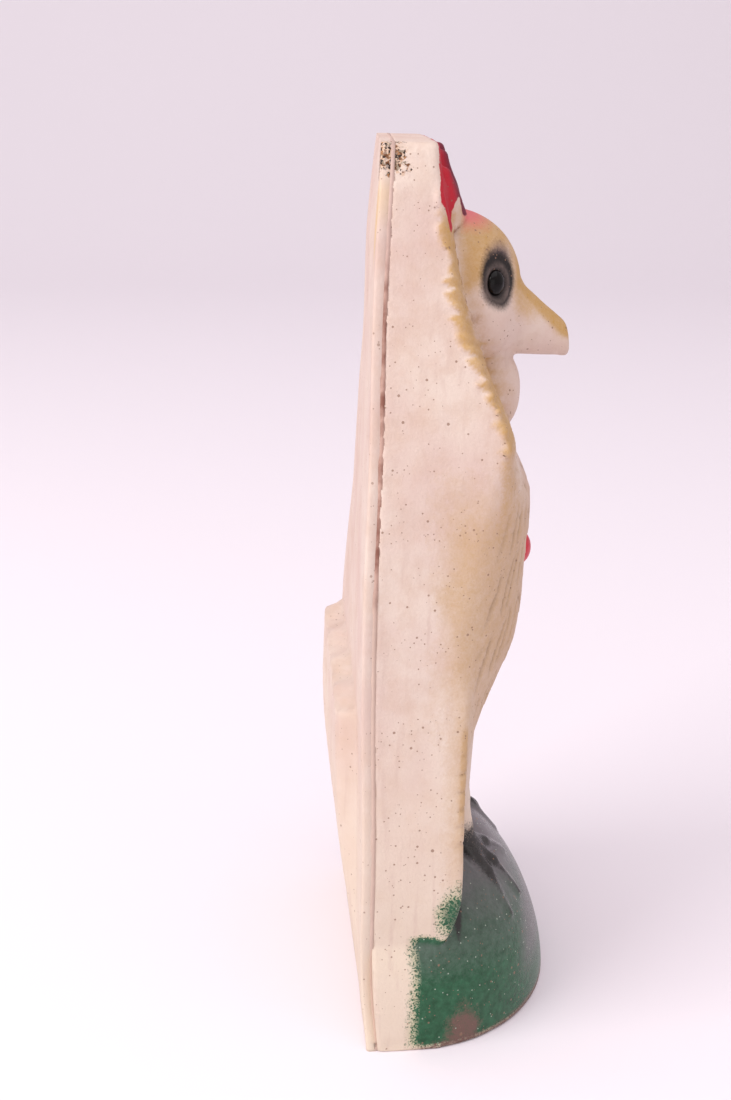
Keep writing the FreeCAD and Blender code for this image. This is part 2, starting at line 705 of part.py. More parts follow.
cap_z = S("squeaker_recess")
cap_radius = f"{S('squeaker_radius')} - {S('squeaker_wall')}"
cap = design_body("squeaker_cap", z=cap_z)
cap_disc = body_sketch(cap, "cap_disc_sketch")
cap_disc.addConstraint(
    Sketcher.Constraint("Coincident", circle(cap_disc, "radius", cap_radius), 3, *ORIGIN)
)
pad(cap, cap_disc, S("cap_thickness"), "cap_disc")
vents(cap, S("cap_thickness"), VENTS, "cap_vents")

cup = design_body("squeaker_cup", z=S("squeaker_recess"))
cup_profile = body_sketch(cup, "cup_profile", "XZ_Plane")
polygon(cup_profile, [(9.8, 0), (12, 0), (12, 1), (11, 1), (11, 6.6), (0, 6.6), (0, 5.4), (9.8, 5.4)])
for i in (0, 2, 4, 6):
    cup_profile.addConstraint(Sketcher.Constraint("Horizontal", i))
for i in (1, 3, 5, 7):
    cup_profile.addConstraint(Sketcher.Constraint("Vertical", i))
cup_profile.addConstraint(Sketcher.Constraint("PointOnObject", 0, START, -1))
cup_profile.addConstraint(Sketcher.Constraint("PointOnObject", 5, START, Y_AXIS))
dimension(cup_profile, "bore", "DistanceX", *ORIGIN, 0, START, 9.8)
dimension(cup_profile, "flange_radius", "DistanceX", *ORIGIN, 1, START, 12)
dimension(cup_profile, "flange_thickness", "DistanceY", *ORIGIN, 1, END, 1)
dimension(cup_profile, "barrel_radius", "DistanceX", *ORIGIN, 3, START, 11)
dimension(cup_profile, "barrel_height", "DistanceY", *ORIGIN, 4, START, 6.6)
dimension(cup_profile, "roof", "DistanceY", 6, START, 5, START, 1.2)
cup_profile.setExpression("Constraints.bore", cap_radius)
cup_profile.setExpression("Constraints.flange_radius", S("flange_radius"))
cup_profile.setExpression("Constraints.flange_thickness", S("flange_thickness"))
cup_profile.setExpression("Constraints.barrel_radius", S("squeaker_radius"))
cup_profile.setExpression("Constraints.barrel_height", S("barrel_height"))
cup_profile.setExpression("Constraints.roof", S("squeaker_wall"))
cup_turned = cup.newObject("PartDesign::Revolution", "cup_turned")
cup_turned.Profile = cup_profile
cup_turned.ReferenceAxis = (cup_profile, ["V_Axis"])
cup_turned.Angle = 360
vents(cup, S("barrel_height"), VENTS, "cup_vents")

BLOCK_TOP = f"{S('squeaker_recess')} + {S('barrel_height')} - {S('squeaker_wall')}"
BLOCK_BOTTOM = f"{BLOCK_TOP} - {S('block_thickness')}"
ROOT_START = f"({S('reed_free_length')} - {S('slot_reach')} + 0.5)"

block = design_body("reed_block", z=BLOCK_BOTTOM)
block_sketch = body_sketch(block, "block_sketch")
block_sketch.addConstraint(
    Sketcher.Constraint("Coincident", circle(block_sketch, "radius", cap_radius), 3, *ORIGIN)
)
rectangle(block_sketch, f"{S('slot_width')} / 2", S("slot_reach"), ROOT_START)
pad(block, block_sketch, S("block_thickness"), "block_disc")

REED_TOP = f"{BLOCK_BOTTOM} - {S('reed_clearance')}"
reed = design_body("squeaker_reed", z=f"{REED_TOP} - {S('reed_thickness')}")
reed_sketch = body_sketch(reed, "reed_sketch")
rectangle(
    reed_sketch, f"{S('reed_width')} / 2", f"{S('reed_free_length')} - {ROOT_START}",
    f"{ROOT_START} + {S('reed_root_length')}",
)
pad(reed, reed_sketch, S("reed_thickness"), "reed_strip")

WEDGE_BOTTOM = f"{BLOCK_BOTTOM} - {S('wedge_height')}"
wedge = design_body("reed_wedge", y=f"{SQUEAKER_Y} + {ROOT_START}", z=WEDGE_BOTTOM)
wedge_sketch = body_sketch(wedge, "wedge_sketch", "XZ_Plane")
polygon(
    wedge_sketch,
    [(-4.2, 0), (4.2, 0), (4.2, 1.6), (2.6, 1.6), (2.6, 1.1), (-2.6, 1.1), (-2.6, 1.6), (-4.2, 1.6)],
)
for i in (2, 6):
    wedge_sketch.addConstraint(Sketcher.Constraint("Horizontal", i))
for i in (1, 3, 5):
    wedge_sketch.addConstraint(Sketcher.Constraint("Vertical", i))
wedge_sketch.addConstraint(Sketcher.Constraint("Symmetric", 0, START, 0, END, Y_AXIS))
wedge_sketch.addConstraint(Sketcher.Constraint("Symmetric", 4, START, 4, END, Y_AXIS))
wedge_sketch.addConstraint(Sketcher.Constraint("Symmetric", 2, START, 6, END, Y_AXIS))
wedge_sketch.addConstraint(Sketcher.Constraint("PointOnObject", 0, START, -1))
dimension(wedge_sketch, "half_width", "DistanceX", *ORIGIN, 0, END, 4.2)
dimension(wedge_sketch, "height", "DistanceY", *ORIGIN, 1, END, 1.6)
dimension(wedge_sketch, "groove_half_width", "DistanceX", *ORIGIN, 4, START, 2.6)
dimension(wedge_sketch, "groove_depth", "DistanceY", 4, START, 2, START, 0.5)
wedge_sketch.setExpression("Constraints.half_width", f"{S('wedge_width')} / 2")
wedge_sketch.setExpression("Constraints.height", S("wedge_height"))
GROOVE_HALF_WIDTH = f"{S('reed_width')} / 2 + {S('reed_clearance')}"
GROOVE_DEPTH = f"{S('reed_thickness')} + {S('reed_clearance')} * 2"
wedge_sketch.setExpression("Constraints.groove_half_width", GROOVE_HALF_WIDTH)
wedge_sketch.setExpression("Constraints.groove_depth", GROOVE_DEPTH)
wedge_pad = pad(wedge, wedge_sketch, S("reed_root_length"), "wedge_pad")
wedge_pad.Reversed = True

# ---------------------------------------------------------------- check and write

doc.recompute()
nodes = [front_shell, back_panel, seam_cement] + buttons + [cup, cap, block, wedge, reed]
faults = [o.Name for o in doc.Objects if {"Invalid", "Error"} & set(o.State)]
if faults:
    raise SystemExit(f"failed objects: {faults}")
os.makedirs("parts", exist_ok=True)
for node in nodes:
    node.Label = node.Name
    shape = node.Shape
    if shape.isNull() or not shape.isValid() or not shape.Solids:
        raise SystemExit(f"{node.Label} has no valid solid")
    shape.exportStep(f"parts/{node.Label}.step")
    box = shape.BoundBox
    print(
        f"{node.Label}: {len(shape.Solids)} solid, {shape.Volume / 1000:.2f} cm3, "
        f"X {box.XMin:.2f} {box.XMax:.2f}  Y {box.YMin:.2f} {box.YMax:.2f}  Z {box.ZMin:.2f} {box.ZMax:.2f}"
    )
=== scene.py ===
"""Looks of the squeaking rubber hen: a painted front moulding, a plain moulded back, the cement between
them, pressed-in eyes and chest stud, and the squeaker in the sole. The hen stands on a pale sweep of paper.
"""

import math

import bpy
import numpy as np
from mathutils import Matrix, Vector


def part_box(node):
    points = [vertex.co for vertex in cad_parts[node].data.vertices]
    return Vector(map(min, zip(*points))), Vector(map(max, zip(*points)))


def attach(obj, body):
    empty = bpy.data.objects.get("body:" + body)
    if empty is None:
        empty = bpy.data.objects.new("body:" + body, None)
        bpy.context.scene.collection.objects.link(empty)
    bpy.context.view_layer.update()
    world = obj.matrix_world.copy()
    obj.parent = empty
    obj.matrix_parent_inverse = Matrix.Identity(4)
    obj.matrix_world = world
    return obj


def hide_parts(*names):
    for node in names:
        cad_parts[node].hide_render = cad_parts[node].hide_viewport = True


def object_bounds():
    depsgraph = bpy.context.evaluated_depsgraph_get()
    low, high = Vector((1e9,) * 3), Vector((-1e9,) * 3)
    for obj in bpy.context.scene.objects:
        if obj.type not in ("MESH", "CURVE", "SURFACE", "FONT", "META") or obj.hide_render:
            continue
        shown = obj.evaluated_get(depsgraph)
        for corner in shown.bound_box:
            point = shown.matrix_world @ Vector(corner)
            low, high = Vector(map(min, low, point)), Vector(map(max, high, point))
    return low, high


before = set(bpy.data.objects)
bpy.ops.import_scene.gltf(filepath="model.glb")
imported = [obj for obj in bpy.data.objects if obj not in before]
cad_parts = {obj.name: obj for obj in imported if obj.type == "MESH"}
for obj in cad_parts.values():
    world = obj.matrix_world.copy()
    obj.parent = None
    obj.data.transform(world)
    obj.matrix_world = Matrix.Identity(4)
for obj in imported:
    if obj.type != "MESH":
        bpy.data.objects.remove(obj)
cad_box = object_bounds()
MM = 0.001

# -------------------- where it stands
# A table-top studio: pale lavender paper swept up into a wall, a soft window lamp high behind the hen's
# back, a wide soft one overhead and a weak fill low on its right. It is seen from its own right side.

CAMERA_AT = Vector((-362.8, 41.7, 245.0)) * MM
CAMERA_YAW, CAMERA_PITCH, CAMERA_ROLL = (math.radians(a) for a in (-6.366, 19.21, 1.46))
LENS_MM = 50.0


def look_direction(yaw, pitch):
    return Vector((math.cos(pitch) * math.cos(yaw), math.cos(pitch) * math.sin(yaw), -math.sin(pitch)))


camera_data = bpy.data.cameras.new("camera")
camera_data.lens = LENS_MM
camera_data.clip_start = 0.01
camera = bpy.data.objects.new("camera", camera_data)
ahead = look_direction(CAMERA_YAW, CAMERA_PITCH)
turned = ahead.to_track_quat("-Z", "Y").to_matrix() @ Matrix.Rotation(CAMERA_ROLL, 3, "Z")
camera.matrix_world = Matrix.Translation(CAMERA_AT) @ turned.to_4x4()
bpy.context.scene.collection.objects.link(camera)
bpy.context.scene.camera = camera
bpy.context.scene.view_settings.view_transform = "Standard"
bpy.context.scene.view_settings.look = "None"


def linear(hex_colour):
    """An sRGB hex colour as linear RGBA."""
    parts = [int(hex_colour[i : i + 2], 16) / 255 for i in (1, 3, 5)]
    return [c / 12.92 if c <= 0.04045 else ((c + 0.055) / 1.055) ** 2.4 for c in parts] + [1.0]


class Paint:
    """A material's node tree, with one way to add a node."""

    def __init__(self, name):
        self.material = bpy.data.materials.new(name)
        self.material.use_nodes = True
        self.tree = self.material.node_tree
        self.shader = self.tree.nodes["Principled BSDF"]

    def add(self, kind, inputs=None, **settings):
        """A node with its settings, and its inputs set to values or linked to other nodes' outputs."""
        node = self.tree.nodes.new("ShaderNode" + kind)
        for key, value in settings.items():
            setattr(node, key, value)
        for key, value in (inputs or {}).items():
            self.set(node.inputs[key], value)
        return node

    def set(self, socket, value):
        if isinstance(value, bpy.types.NodeSocket):
            self.tree.links.new(value, socket)
        elif isinstance(value, bpy.types.Node):
            self.tree.links.new(value.outputs[0], socket)
        else:
            socket.default_value = value

    def finish(self, **sockets):
        for key, value in sockets.items():
            self.set(self.shader.inputs[key.replace("_", " ")], value)
        return self.material


PAPER = "#F0E9EF"
SWEEP_WIDE, SWEEP_TALL = 6.0, 4.0
SWEEP_BACK, SWEEP_FRONT, SWEEP_RADIUS = 1.9, -3.0, 0.8
SWEEP_STEPS = 16


def swept_paper():
    """A flat sheet that turns up into a wall behind the hen, as one strip of quads along X."""
    bend = SWEEP_BACK - SWEEP_RADIUS
    profile = [(SWEEP_FRONT, 0.0), (bend, 0.0)]
    for i in range(1, SWEEP_STEPS + 1):
        a = math.radians(90 * i / SWEEP_STEPS)
        profile.append((bend + SWEEP_RADIUS * math.sin(a), SWEEP_RADIUS * (1 - math.cos(a))))
    profile.append((SWEEP_BACK, SWEEP_TALL))
    verts = [(along, side, up) for along, up in profile for side in (-SWEEP_WIDE / 2, SWEEP_WIDE / 2)]
    faces = [(2 * i, 2 * i + 2, 2 * i + 3, 2 * i + 1) for i in range(len(profile) - 1)]
    mesh = bpy.data.meshes.new("paper")
    mesh.from_pydata(verts, [], faces)
    mesh.polygons.foreach_set("use_smooth", [True] * len(faces))
    paper = bpy.data.objects.new("paper", mesh)
    bpy.context.scene.collection.objects.link(paper)
    return paper


paper = swept_paper()
# uncoated paper: no shine, and a fibre so fine that it only takes the edge off the light
matt_paper = Paint("matt_lavender_paper")
fibre = matt_paper.add("TexNoise", {"Scale": 900.0, "Detail": 3.0})
fibre_bump = matt_paper.add("Bump", {"Height": fibre, "Strength": 0.04, "Distance": 0.0002})
paper.data.materials.append(
    matt_paper.finish(Base_Color=linear(PAPER), Roughness=0.9, Specular_IOR_Level=0.15, Normal=fibre_bump)
)


def lamp(name, at, size, watts, colour):
    """A square soft lamp aimed at the middle of the hen."""
    data = bpy.data.lights.new(name, "AREA")
    data.size, data.energy, data.color = size, watts, linear(colour)[:3]
    light = bpy.data.objects.new(name, data)
    middle = (cad_box[0] + cad_box[1]) / 2
    aim = (middle - Vector(at)).to_track_quat("-Z", "Y").to_matrix()
    light.matrix_world = Matrix.Translation(at) @ aim.to_4x4()
    bpy.context.scene.collection.objects.link(light)


lamp("window_left", (-0.45, 1.0, 0.85), 0.8, 10.0, "#FFFEFC")
lamp("sky_above", (-0.25, -0.1, 1.5), 1.6, 8.5, "#FCFBFF")
lamp("fill_low", (-1.1, 0.1, 0.25), 0.9, 1.5, "#FFFDFA")
world = bpy.data.worlds.new("studio")
world.use_nodes = True
world.node_tree.nodes["Background"].inputs["Color"].default_value = linear("#FAF3F6")
world.node_tree.nodes["Background"].inputs["Strength"].default_value = 0.72
bpy.context.scene.world = world

# -------------------- the moulding's outline
# Both mouldings meet at one parting line. Its half width at each height and the bow of the back are read
# from the cement between them, so that the two skins below keep to the frame. Everything is in millimetres
# from here on, until a mesh is made.

cement_points = np.array([v.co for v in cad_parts["seam_cement"].data.vertices]) / MM
CROWN = cement_points[:, 2].max()
PANEL_THICK = 2.4
CEMENT_THICK = 0.4


def smooth_fit(z, value, degree):
    return np.polynomial.Chebyshev.fit(z, value, degree, domain=(0.0, CROWN))


side = cement_points[np.abs(cement_points[:, 0]) > 10.0]
bands = np.floor(side[:, 2] / 4.0).astype(int)
in_bands = [side[bands == band] for band in np.unique(bands)]
outer = np.array([points[np.abs(points[:, 0]).argmax()] for points in in_bands])
outer = outer[np.abs(outer[:, 0]) > smooth_fit(outer[:, 2], np.abs(outer[:, 0]), 3)(outer[:, 2]) - 0.6]
WIDTH_FIT = smooth_fit(outer[:, 2], np.abs(outer[:, 0]), 7)
behind = np.array([points[points[:, 1].argmax()] for points in in_bands])
BACK_FIT = smooth_fit(behind[:, 2], behind[:, 1] + PANEL_THICK, 3)


def half_width(z):
    return WIDTH_FIT(np.clip(z, 0.0, CROWN))


def along(z, *knots):
    """A smooth curve through (height, value) knots that never overshoots them."""
    at, value = np.array(knots, float).T
    i = np.clip(np.searchsorted(at, z) - 1, 0, len(at) - 2)
    t = np.clip((z - at[i]) / (at[i + 1] - at[i]), 0.0, 1.0)
    rise = np.diff(value) / np.diff(at)
    meet = rise[:-1] * rise[1:]
    middle = np.where(meet > 0, 2 * meet / np.where(meet > 0, rise[:-1] + rise[1:], 1.0), 0.0)
    slope = np.concatenate([rise[:1], middle, rise[-1:]])
    step = at[i + 1] - at[i]
    t2, t3 = t * t, t * t * t
    return (
        value[i] * (2 * t3 - 3 * t2 + 1)
        + slope[i] * step * (t3 - 2 * t2 + t)
        + value[i + 1] * (3 * t2 - 2 * t3)
        + slope[i + 1] * step * (t3 - t2)
    )


def ramp(value, low, high):
    """0 below low, 1 above high, smooth between. low may be above high."""
    t = np.clip((value - low) / (high - low), 0.0, 1.0)
    return t * t * (3 - 2 * t)


def back_face(z, x=0.0):
    """The back, which the moulding left thicker along the hen's right side and hollow along the left."""
    near = 0.5 - x / (2 * half_width(z))
    lean = along(z, (0, 2.7), (20, 3.1), (60, 2.4), (120, 2.8), (150, 2.6), (180, 3.1), (219, 3.6))
    hollow = along(
        z, (0, 0.4), (60, 0.6), (95, 0.0), (112, -0.9), (128, -1.7), (165, -1.1), (200, 1.2), (219, 1.6)
    )
    return BACK_FIT(np.clip(z, 0.0, CROWN)) + near * lean + (1 - near) * hollow


def lumps(x, y, z, size, seed):
    """Smooth noise of about that size in millimetres, from -1 to 1."""
    table = np.random.default_rng(seed).uniform(-1.0, 1.0, (32, 32, 32))
    cell, part = [], []
    for value in (x, y, z):
        scaled = value / size + 1000.0
        whole = np.floor(scaled)
        t = scaled - whole
        cell.append(whole.astype(int) % 32)
        part.append(t * t * (3 - 2 * t))
    total = 0.0
    for i in (0, 1):
        for j in (0, 1):
            for k in (0, 1):
                weight = (
                    (part[0] if i else 1 - part[0])
                    * (part[1] if j else 1 - part[1])
                    * (part[2] if k else 1 - part[2])
                )
                total = total + weight * table[(cell[0] + i) % 32, (cell[1] + j) % 32, (cell[2] + k) % 32]
    return total


# -------------------- painted front
# The hollow front moulding, cast in rubber in one piece: side walls, ruff, head, beak, throat lobes,
# comb, breast, wings, legs and the mound. It is modelled as clay, as depth under a surface that is less than
# nothing inside, with soft joins where a mould maker would press one form into the next.


def blend_in(a, b, reach):
    """Two forms as one, with a fillet of about that reach."""
    h = np.clip(0.5 + 0.5 * (b - a) / reach, 0.0, 1.0)
    return b + (a - b) * h - reach * h * (1 - h)


def trim_to(a, b, reach):
    """What two forms share, with the edge between them rounded."""
    return -blend_in(-a, -b, reach)


def egg(p, centre, radii):
    q = [(v - c) / r for v, c, r in zip(p, centre, radii)]
    near = np.sqrt(q[0] ** 2 + q[1] ** 2 + q[2] ** 2) + 1e-6
    steep = np.sqrt(sum((v / r) ** 2 for v, r in zip(q, radii))) + 1e-6
    return near * (near - 1) / steep


def taper(p, start, start_radius, end, end_radius):
    """A round bar from one point to another, thinning along its length."""
    run = [e - s for s, e in zip(start, end)]
    length2 = sum(v * v for v in run)
    t = np.clip(sum((v - s) * r for v, s, r in zip(p, start, run)) / length2, 0.0, 1.0)
    off = [v - s - t * r for v, s, r in zip(p, start, run)]
    return np.sqrt(off[0] ** 2 + off[1] ** 2 + off[2] ** 2) - (start_radius + t * (end_radius - start_radius))


def wall_edge(z):
    """How far forward the plain side wall reaches."""
    return along(
        z, (0, 16), (20, 11), (27, 15.5), (33, 18.4), (42, 20), (60, 19.8), (96, 19.8), (115, 22),
        (135, 25.5), (150, 27.3), (157, 26.2), (163, 23.8), (171, 20.6), (179, 17), (188, 14.8),
        (197, 13.1), (206, 11.4), (219, 11),
    )


def front_depth(z):
    """How far forward the breast, belly and ruff stand at the middle, without the head."""
    return along(
        z, (0, 20), (40, 21.5), (60, 22.4), (70, 23.6), (78, 26.0), (83, 28.4), (91, 32.4), (100, 36.2),
        (110, 37.6), (118, 37.8), (125, 37.9), (130, 38.4), (137, 38.2), (142, 36.4), (148, 33.4),
        (156, 30.0), (166, 25), (180, 20.0), (196, 16), (219, 12.3),
    )


HEAD_AT, HEAD_RADII = (0.0, -16.9, 185.6), (15.2, 17.6, 17.6)
EYE_AT = np.array((11.9, -27.2, 187.2))
EYE_OUT = np.array((math.cos(math.radians(41)), -math.sin(math.radians(41)), 0.0))
MOUND_HALF, MOUND_MIDDLE, MOUND_FRONT, MOUND_TOP = 45.0, 10.0, 40.4, 46.0
LEG_X = 15.0


def ruff_edge(z):
    """The ragged rear edge of the ruff: uneven pointed tufts that lap back over the plain wall."""
    tuft = 6.4
    t = (z / tuft + 0.35 * np.sin(z * 0.37) + 0.2 * np.sin(z * 0.83)) % 1.0
    hook = np.where(t < 0.34, t / 0.34, 1 - (t - 0.34) / 0.66) ** 1.4
    reach = along(z, (140, 0.4), (150, 1.6), (165, 2.6), (185, 2.8), (200, 2.0), (212, 0.4))
    return wall_edge(z) - 0.2 - reach * (1 - hook)


def mound_height(x, y):
    """The mound's top: a low crest round the sides and a fall to the floor in front."""
    across = np.abs(x) / MOUND_HALF
    forward = np.clip(-y - MOUND_MIDDLE, 0.0, None) / MOUND_FRONT
    out = np.sqrt(across**2 + forward**2) + 1e-6
    sideways = (across / out) ** 2
    near = np.clip(out, 0.0, 1.0)
    to_side = (MOUND_TOP - 17.5 * near**1.7) * (1 - near**18) ** 0.5
    to_front = MOUND_TOP * (1 - near**2.6) ** (1 / 1.5)
    return sideways * to_side + (1 - sideways) * to_front


def mound_form(p):
    x, y, z = p
    across = np.abs(x) / MOUND_HALF
    forward = np.clip(-y - MOUND_MIDDLE, 0.0, None) / MOUND_FRONT
    foot = (np.sqrt(across**2 + forward**2) - 1) * MOUND_FRONT
    top = (z - mound_height(x, y)) * 0.75
    return trim_to(foot, top, 3.0)


def comb_form(p):
    form = None
    for x, height in ((-11.2, 213.4), (-6.0, 216.8), (0.0, 218.0), (6.0, 216.8), (11.2, 213.4)):
        lobe = taper(p, (0.62 * x, -14.6, 201.5), 4.4, (x, -13.2, height - 1.6), 1.7)
        form = lobe if form is None else blend_in(form, lobe, 1.2)
    return form


def leg_form(p):
    mirrored = (np.abs(p[0]), p[1], p[2])
    leg = taper(mirrored, (LEG_X, -21.0, 82.0), 5.2, (LEG_X + 1.0, -22.6, 56.0), 2.9)
    leg = blend_in(leg, taper(mirrored, (LEG_X + 1.0, -22.6, 56.0), 2.9, (LEG_X, -24.4, 45.0), 3.2), 1.5)
    for sideways, forward in ((-9.0, 12.0), (0.5, 15.0), (10.0, 11.0)):
        knuckle = (LEG_X + 0.5 * sideways, -24.4 - 0.5 * forward)
        tip = (LEG_X + sideways, -24.4 - forward)
        knuckle_z, tip_z = (float(mound_height(np.array(a), np.array(b))) - 0.6 for a, b in (knuckle, tip))
        leg = blend_in(leg, taper(mirrored, (LEG_X, -23.4, 44.2), 2.6, (*knuckle, knuckle_z), 2.1), 1.4)
        leg = blend_in(leg, taper(mirrored, (*knuckle, knuckle_z), 2.1, (*tip, tip_z - 0.8), 1.5), 1.4)
    return leg


def eye_distance(p):
    """Distance from the eye's axis, measured rounder than the eye is tall."""
    x = np.abs(p[0]) - EYE_AT[0]
    y, z = p[1] - EYE_AT[1], (p[2] - EYE_AT[2]) * 0.84
    depth = x * EYE_OUT[0] + y * EYE_OUT[1]
    sideways = x * EYE_OUT[1] - y * EYE_OUT[0]
    return np.sqrt(sideways**2 + z**2), depth


def shingles(across, down, wide, tall):
    """Overlapping feathers: 0 at each one's root to 1 at its tip, and 0 at its rib to 1 at its edge."""
    row = np.floor(down / tall)
    shift = across / wide + 0.5 * (row % 2)
    u = (shift - np.floor(shift) - 0.5) * 2
    sag = 0.55 * (1 - u * u)
    t = down / tall + sag
    row = np.floor(t)
    shift = across / wide + 0.5 * (row % 2)
    u = (shift - np.floor(shift) - 0.5) * 2
    return t - row, np.abs(u)


def feather_relief(p):
    """Feather tips over the breast and wings, fading out on the plain wall, and the strokes cut in them."""
    x, y, z = p
    inward = ramp(-y - wall_edge(z), 1.0, 7.0)
    body = inward * ramp(z, 78, 88) * ramp(z, 160, 150)
    tip, edge = shingles(x + 1.2 * np.sin(z * 0.31), (170 - z) + 0.004 * x * x, 10.0, 11.0)
    strokes = ramp(np.abs(tip - 0.93), 0.07, 0.02) * ramp(lumps(x, y, z, 9.0, 14), -0.15, 0.15)
    breast = body * (0.22 * tip**2 - 0.6 * strokes)
    wing = ramp(np.abs(x), 19, 22) * ramp(z, 84, 90) * ramp(z, 140, 132) * ramp(-y - wall_edge(z), 0.5, 4.0)
    barb, rib = shingles(np.abs(x) + 0.25 * z, (170 - z) - 0.6 * np.abs(x), 6.5, 15.0)
    cut = ramp(np.abs(rib - 0.62), 0.2, 0.06) * ramp(barb, 0.25, 0.4) * ramp(barb, 0.95, 0.8)
    off_wing = 1 - 0.8 * wing
    return breast * off_wing + wing * (0.12 - 0.75 * cut), body * strokes * off_wing + wing * cut


def clay(x, y, z):
    """Depth of a point under the front moulding's surface, in millimetres, less than 0 inside."""
    p = (x, y, z)
    half, wall, middle = half_width(z), wall_edge(z), front_depth(z)
    across = np.clip(np.abs(x) / half, 0.0, 1.0)
    bulge = along(z, (0, 0.5), (70, 1.3), (110, 1.0), (150, 1.0), (180, 0.6), (219, 0.5))
    depth = wall + (middle - wall) * (1 - across**2.4) ** bulge
    edge_round = along(z, (0, 1.2), (90, 1.2), (112, 5.0), (140, 4.0), (158, 1.2), (219, 1.4))
    form = trim_to(np.abs(x) - half, (-y - depth) * 0.85, edge_round)
    head = egg(p, HEAD_AT, HEAD_RADII)
    head = blend_in(head, egg((np.abs(x), y, z), (6.2, -24.0, 177.5), (8.2, 8.6, 9.0)), 3.0)
    beak = taper(p, (0, -31.2, 177.4), 9.3, (0, -46.0, 171.6), 3.9)
    beak = trim_to(beak, 167.0 - z, 2.2)
    beak = trim_to(beak, -y - 47.0 + 0.1 * (z - 171), 1.2)
    head = blend_in(head, beak, 2.4)
    lobes = egg((np.abs(x), y, z), (3.2, -27.7, 159.6), (5.2, 7.8, 11.4))
    head = blend_in(head, lobes, 2.4)
    form = blend_in(form, head, 2.0)
    form = blend_in(form, comb_form(p), 0.9)
    form = blend_in(form, leg_form(p), 1.6)
    form = blend_in(form, mound_form(p), 1.1)

    off_axis, deep = eye_distance(p)
    around_eye = (deep > -6) & (deep < 6)
    relief = np.where(around_eye, 0.5 * np.exp(-(((off_axis - 3.5) / 0.6) ** 2)), 0.0)
    relief = relief - np.where(around_eye, 1.1 * np.exp(-((off_axis / 4.6) ** 4)), 0.0)
    ahead_of_edge = -y - ruff_edge(z)
    on_ruff = ramp(ahead_of_edge, 0.0, 0.5) * ramp(z, 146, 152) * ramp(z, 214, 208)
    off_head = ramp(head, 0.2, 1.4)
    strands = np.abs((np.arctan2(x, z - 168) * 9.0 + 0.25 * lumps(x, y, z, 6.0, 3)) % 1.0 - 0.5) * 2
    relief = relief + on_ruff * off_head * (0.62 + 0.5 * strands - 0.25)
    relief = relief + feather_relief(p)[0] * (1 - on_ruff)
    corner = np.sqrt((x + 14) ** 2 + (y + 2.4) ** 2 + ((z - 215) * 0.8) ** 2)
    relief = relief + ramp(corner, 6.0, 3.0) * (0.55 * lumps(x, y, z, 1.1, 15) - 0.25)
    relief = relief + 0.10 * lumps(x, y, z, 5.0, 11) + 0.22 * lumps(x, y, z, 17.0, 12)
    # short ticks pressed into the lower wall's front edge
    notch = np.abs(((z - 52) / 4.6) % 1.0 - 0.5) * 2
    edge_band = ramp(np.abs(-y - wall_edge(z) + 0.8), 1.6, 0.6) * ramp(z, 54, 58) * ramp(z, 82, 78)
    relief = relief - 0.45 * edge_band * ramp(notch, 0.72, 0.95)
    form = form - relief

    form = trim_to(form, z - CROWN, 1.3)
    form = trim_to(form, -z, 1.2)
    rear = y - (back_face(z, x) - PANEL_THICK - CEMENT_THICK)
    form = trim_to(form, rear, 0.3)
    off_squeaker = np.sqrt(x**2 + (y - SQUEAKER_Y) ** 2)
    seat = np.maximum(off_squeaker - SEAT_RADIUS, z - SEAT_TOP)
    barrel = np.maximum(off_squeaker - BARREL_RADIUS, z - BARREL_TOP)
    return np.maximum(form, -np.minimum(seat, barrel))


cup_low, cup_high = (np.array(corner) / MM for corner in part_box("squeaker_cup"))
SQUEAKER_Y = (cup_low[1] + cup_high[1]) / 2
SEAT_RADIUS = (cup_high[0] - cup_low[0]) / 2 + 0.05
SEAT_TOP = cup_low[2] + 1.05
BARREL_RADIUS = SEAT_RADIUS - 1.0
BARREL_TOP = cup_high[2] + 0.3


def slope_of(field, points, h):
    """The field's value and gradient at each point."""
    value = field(*points)
    grad = [field(*(points + h * np.eye(3)[:, [i]])) - value for i in range(3)]
    return value, np.array(grad) / h


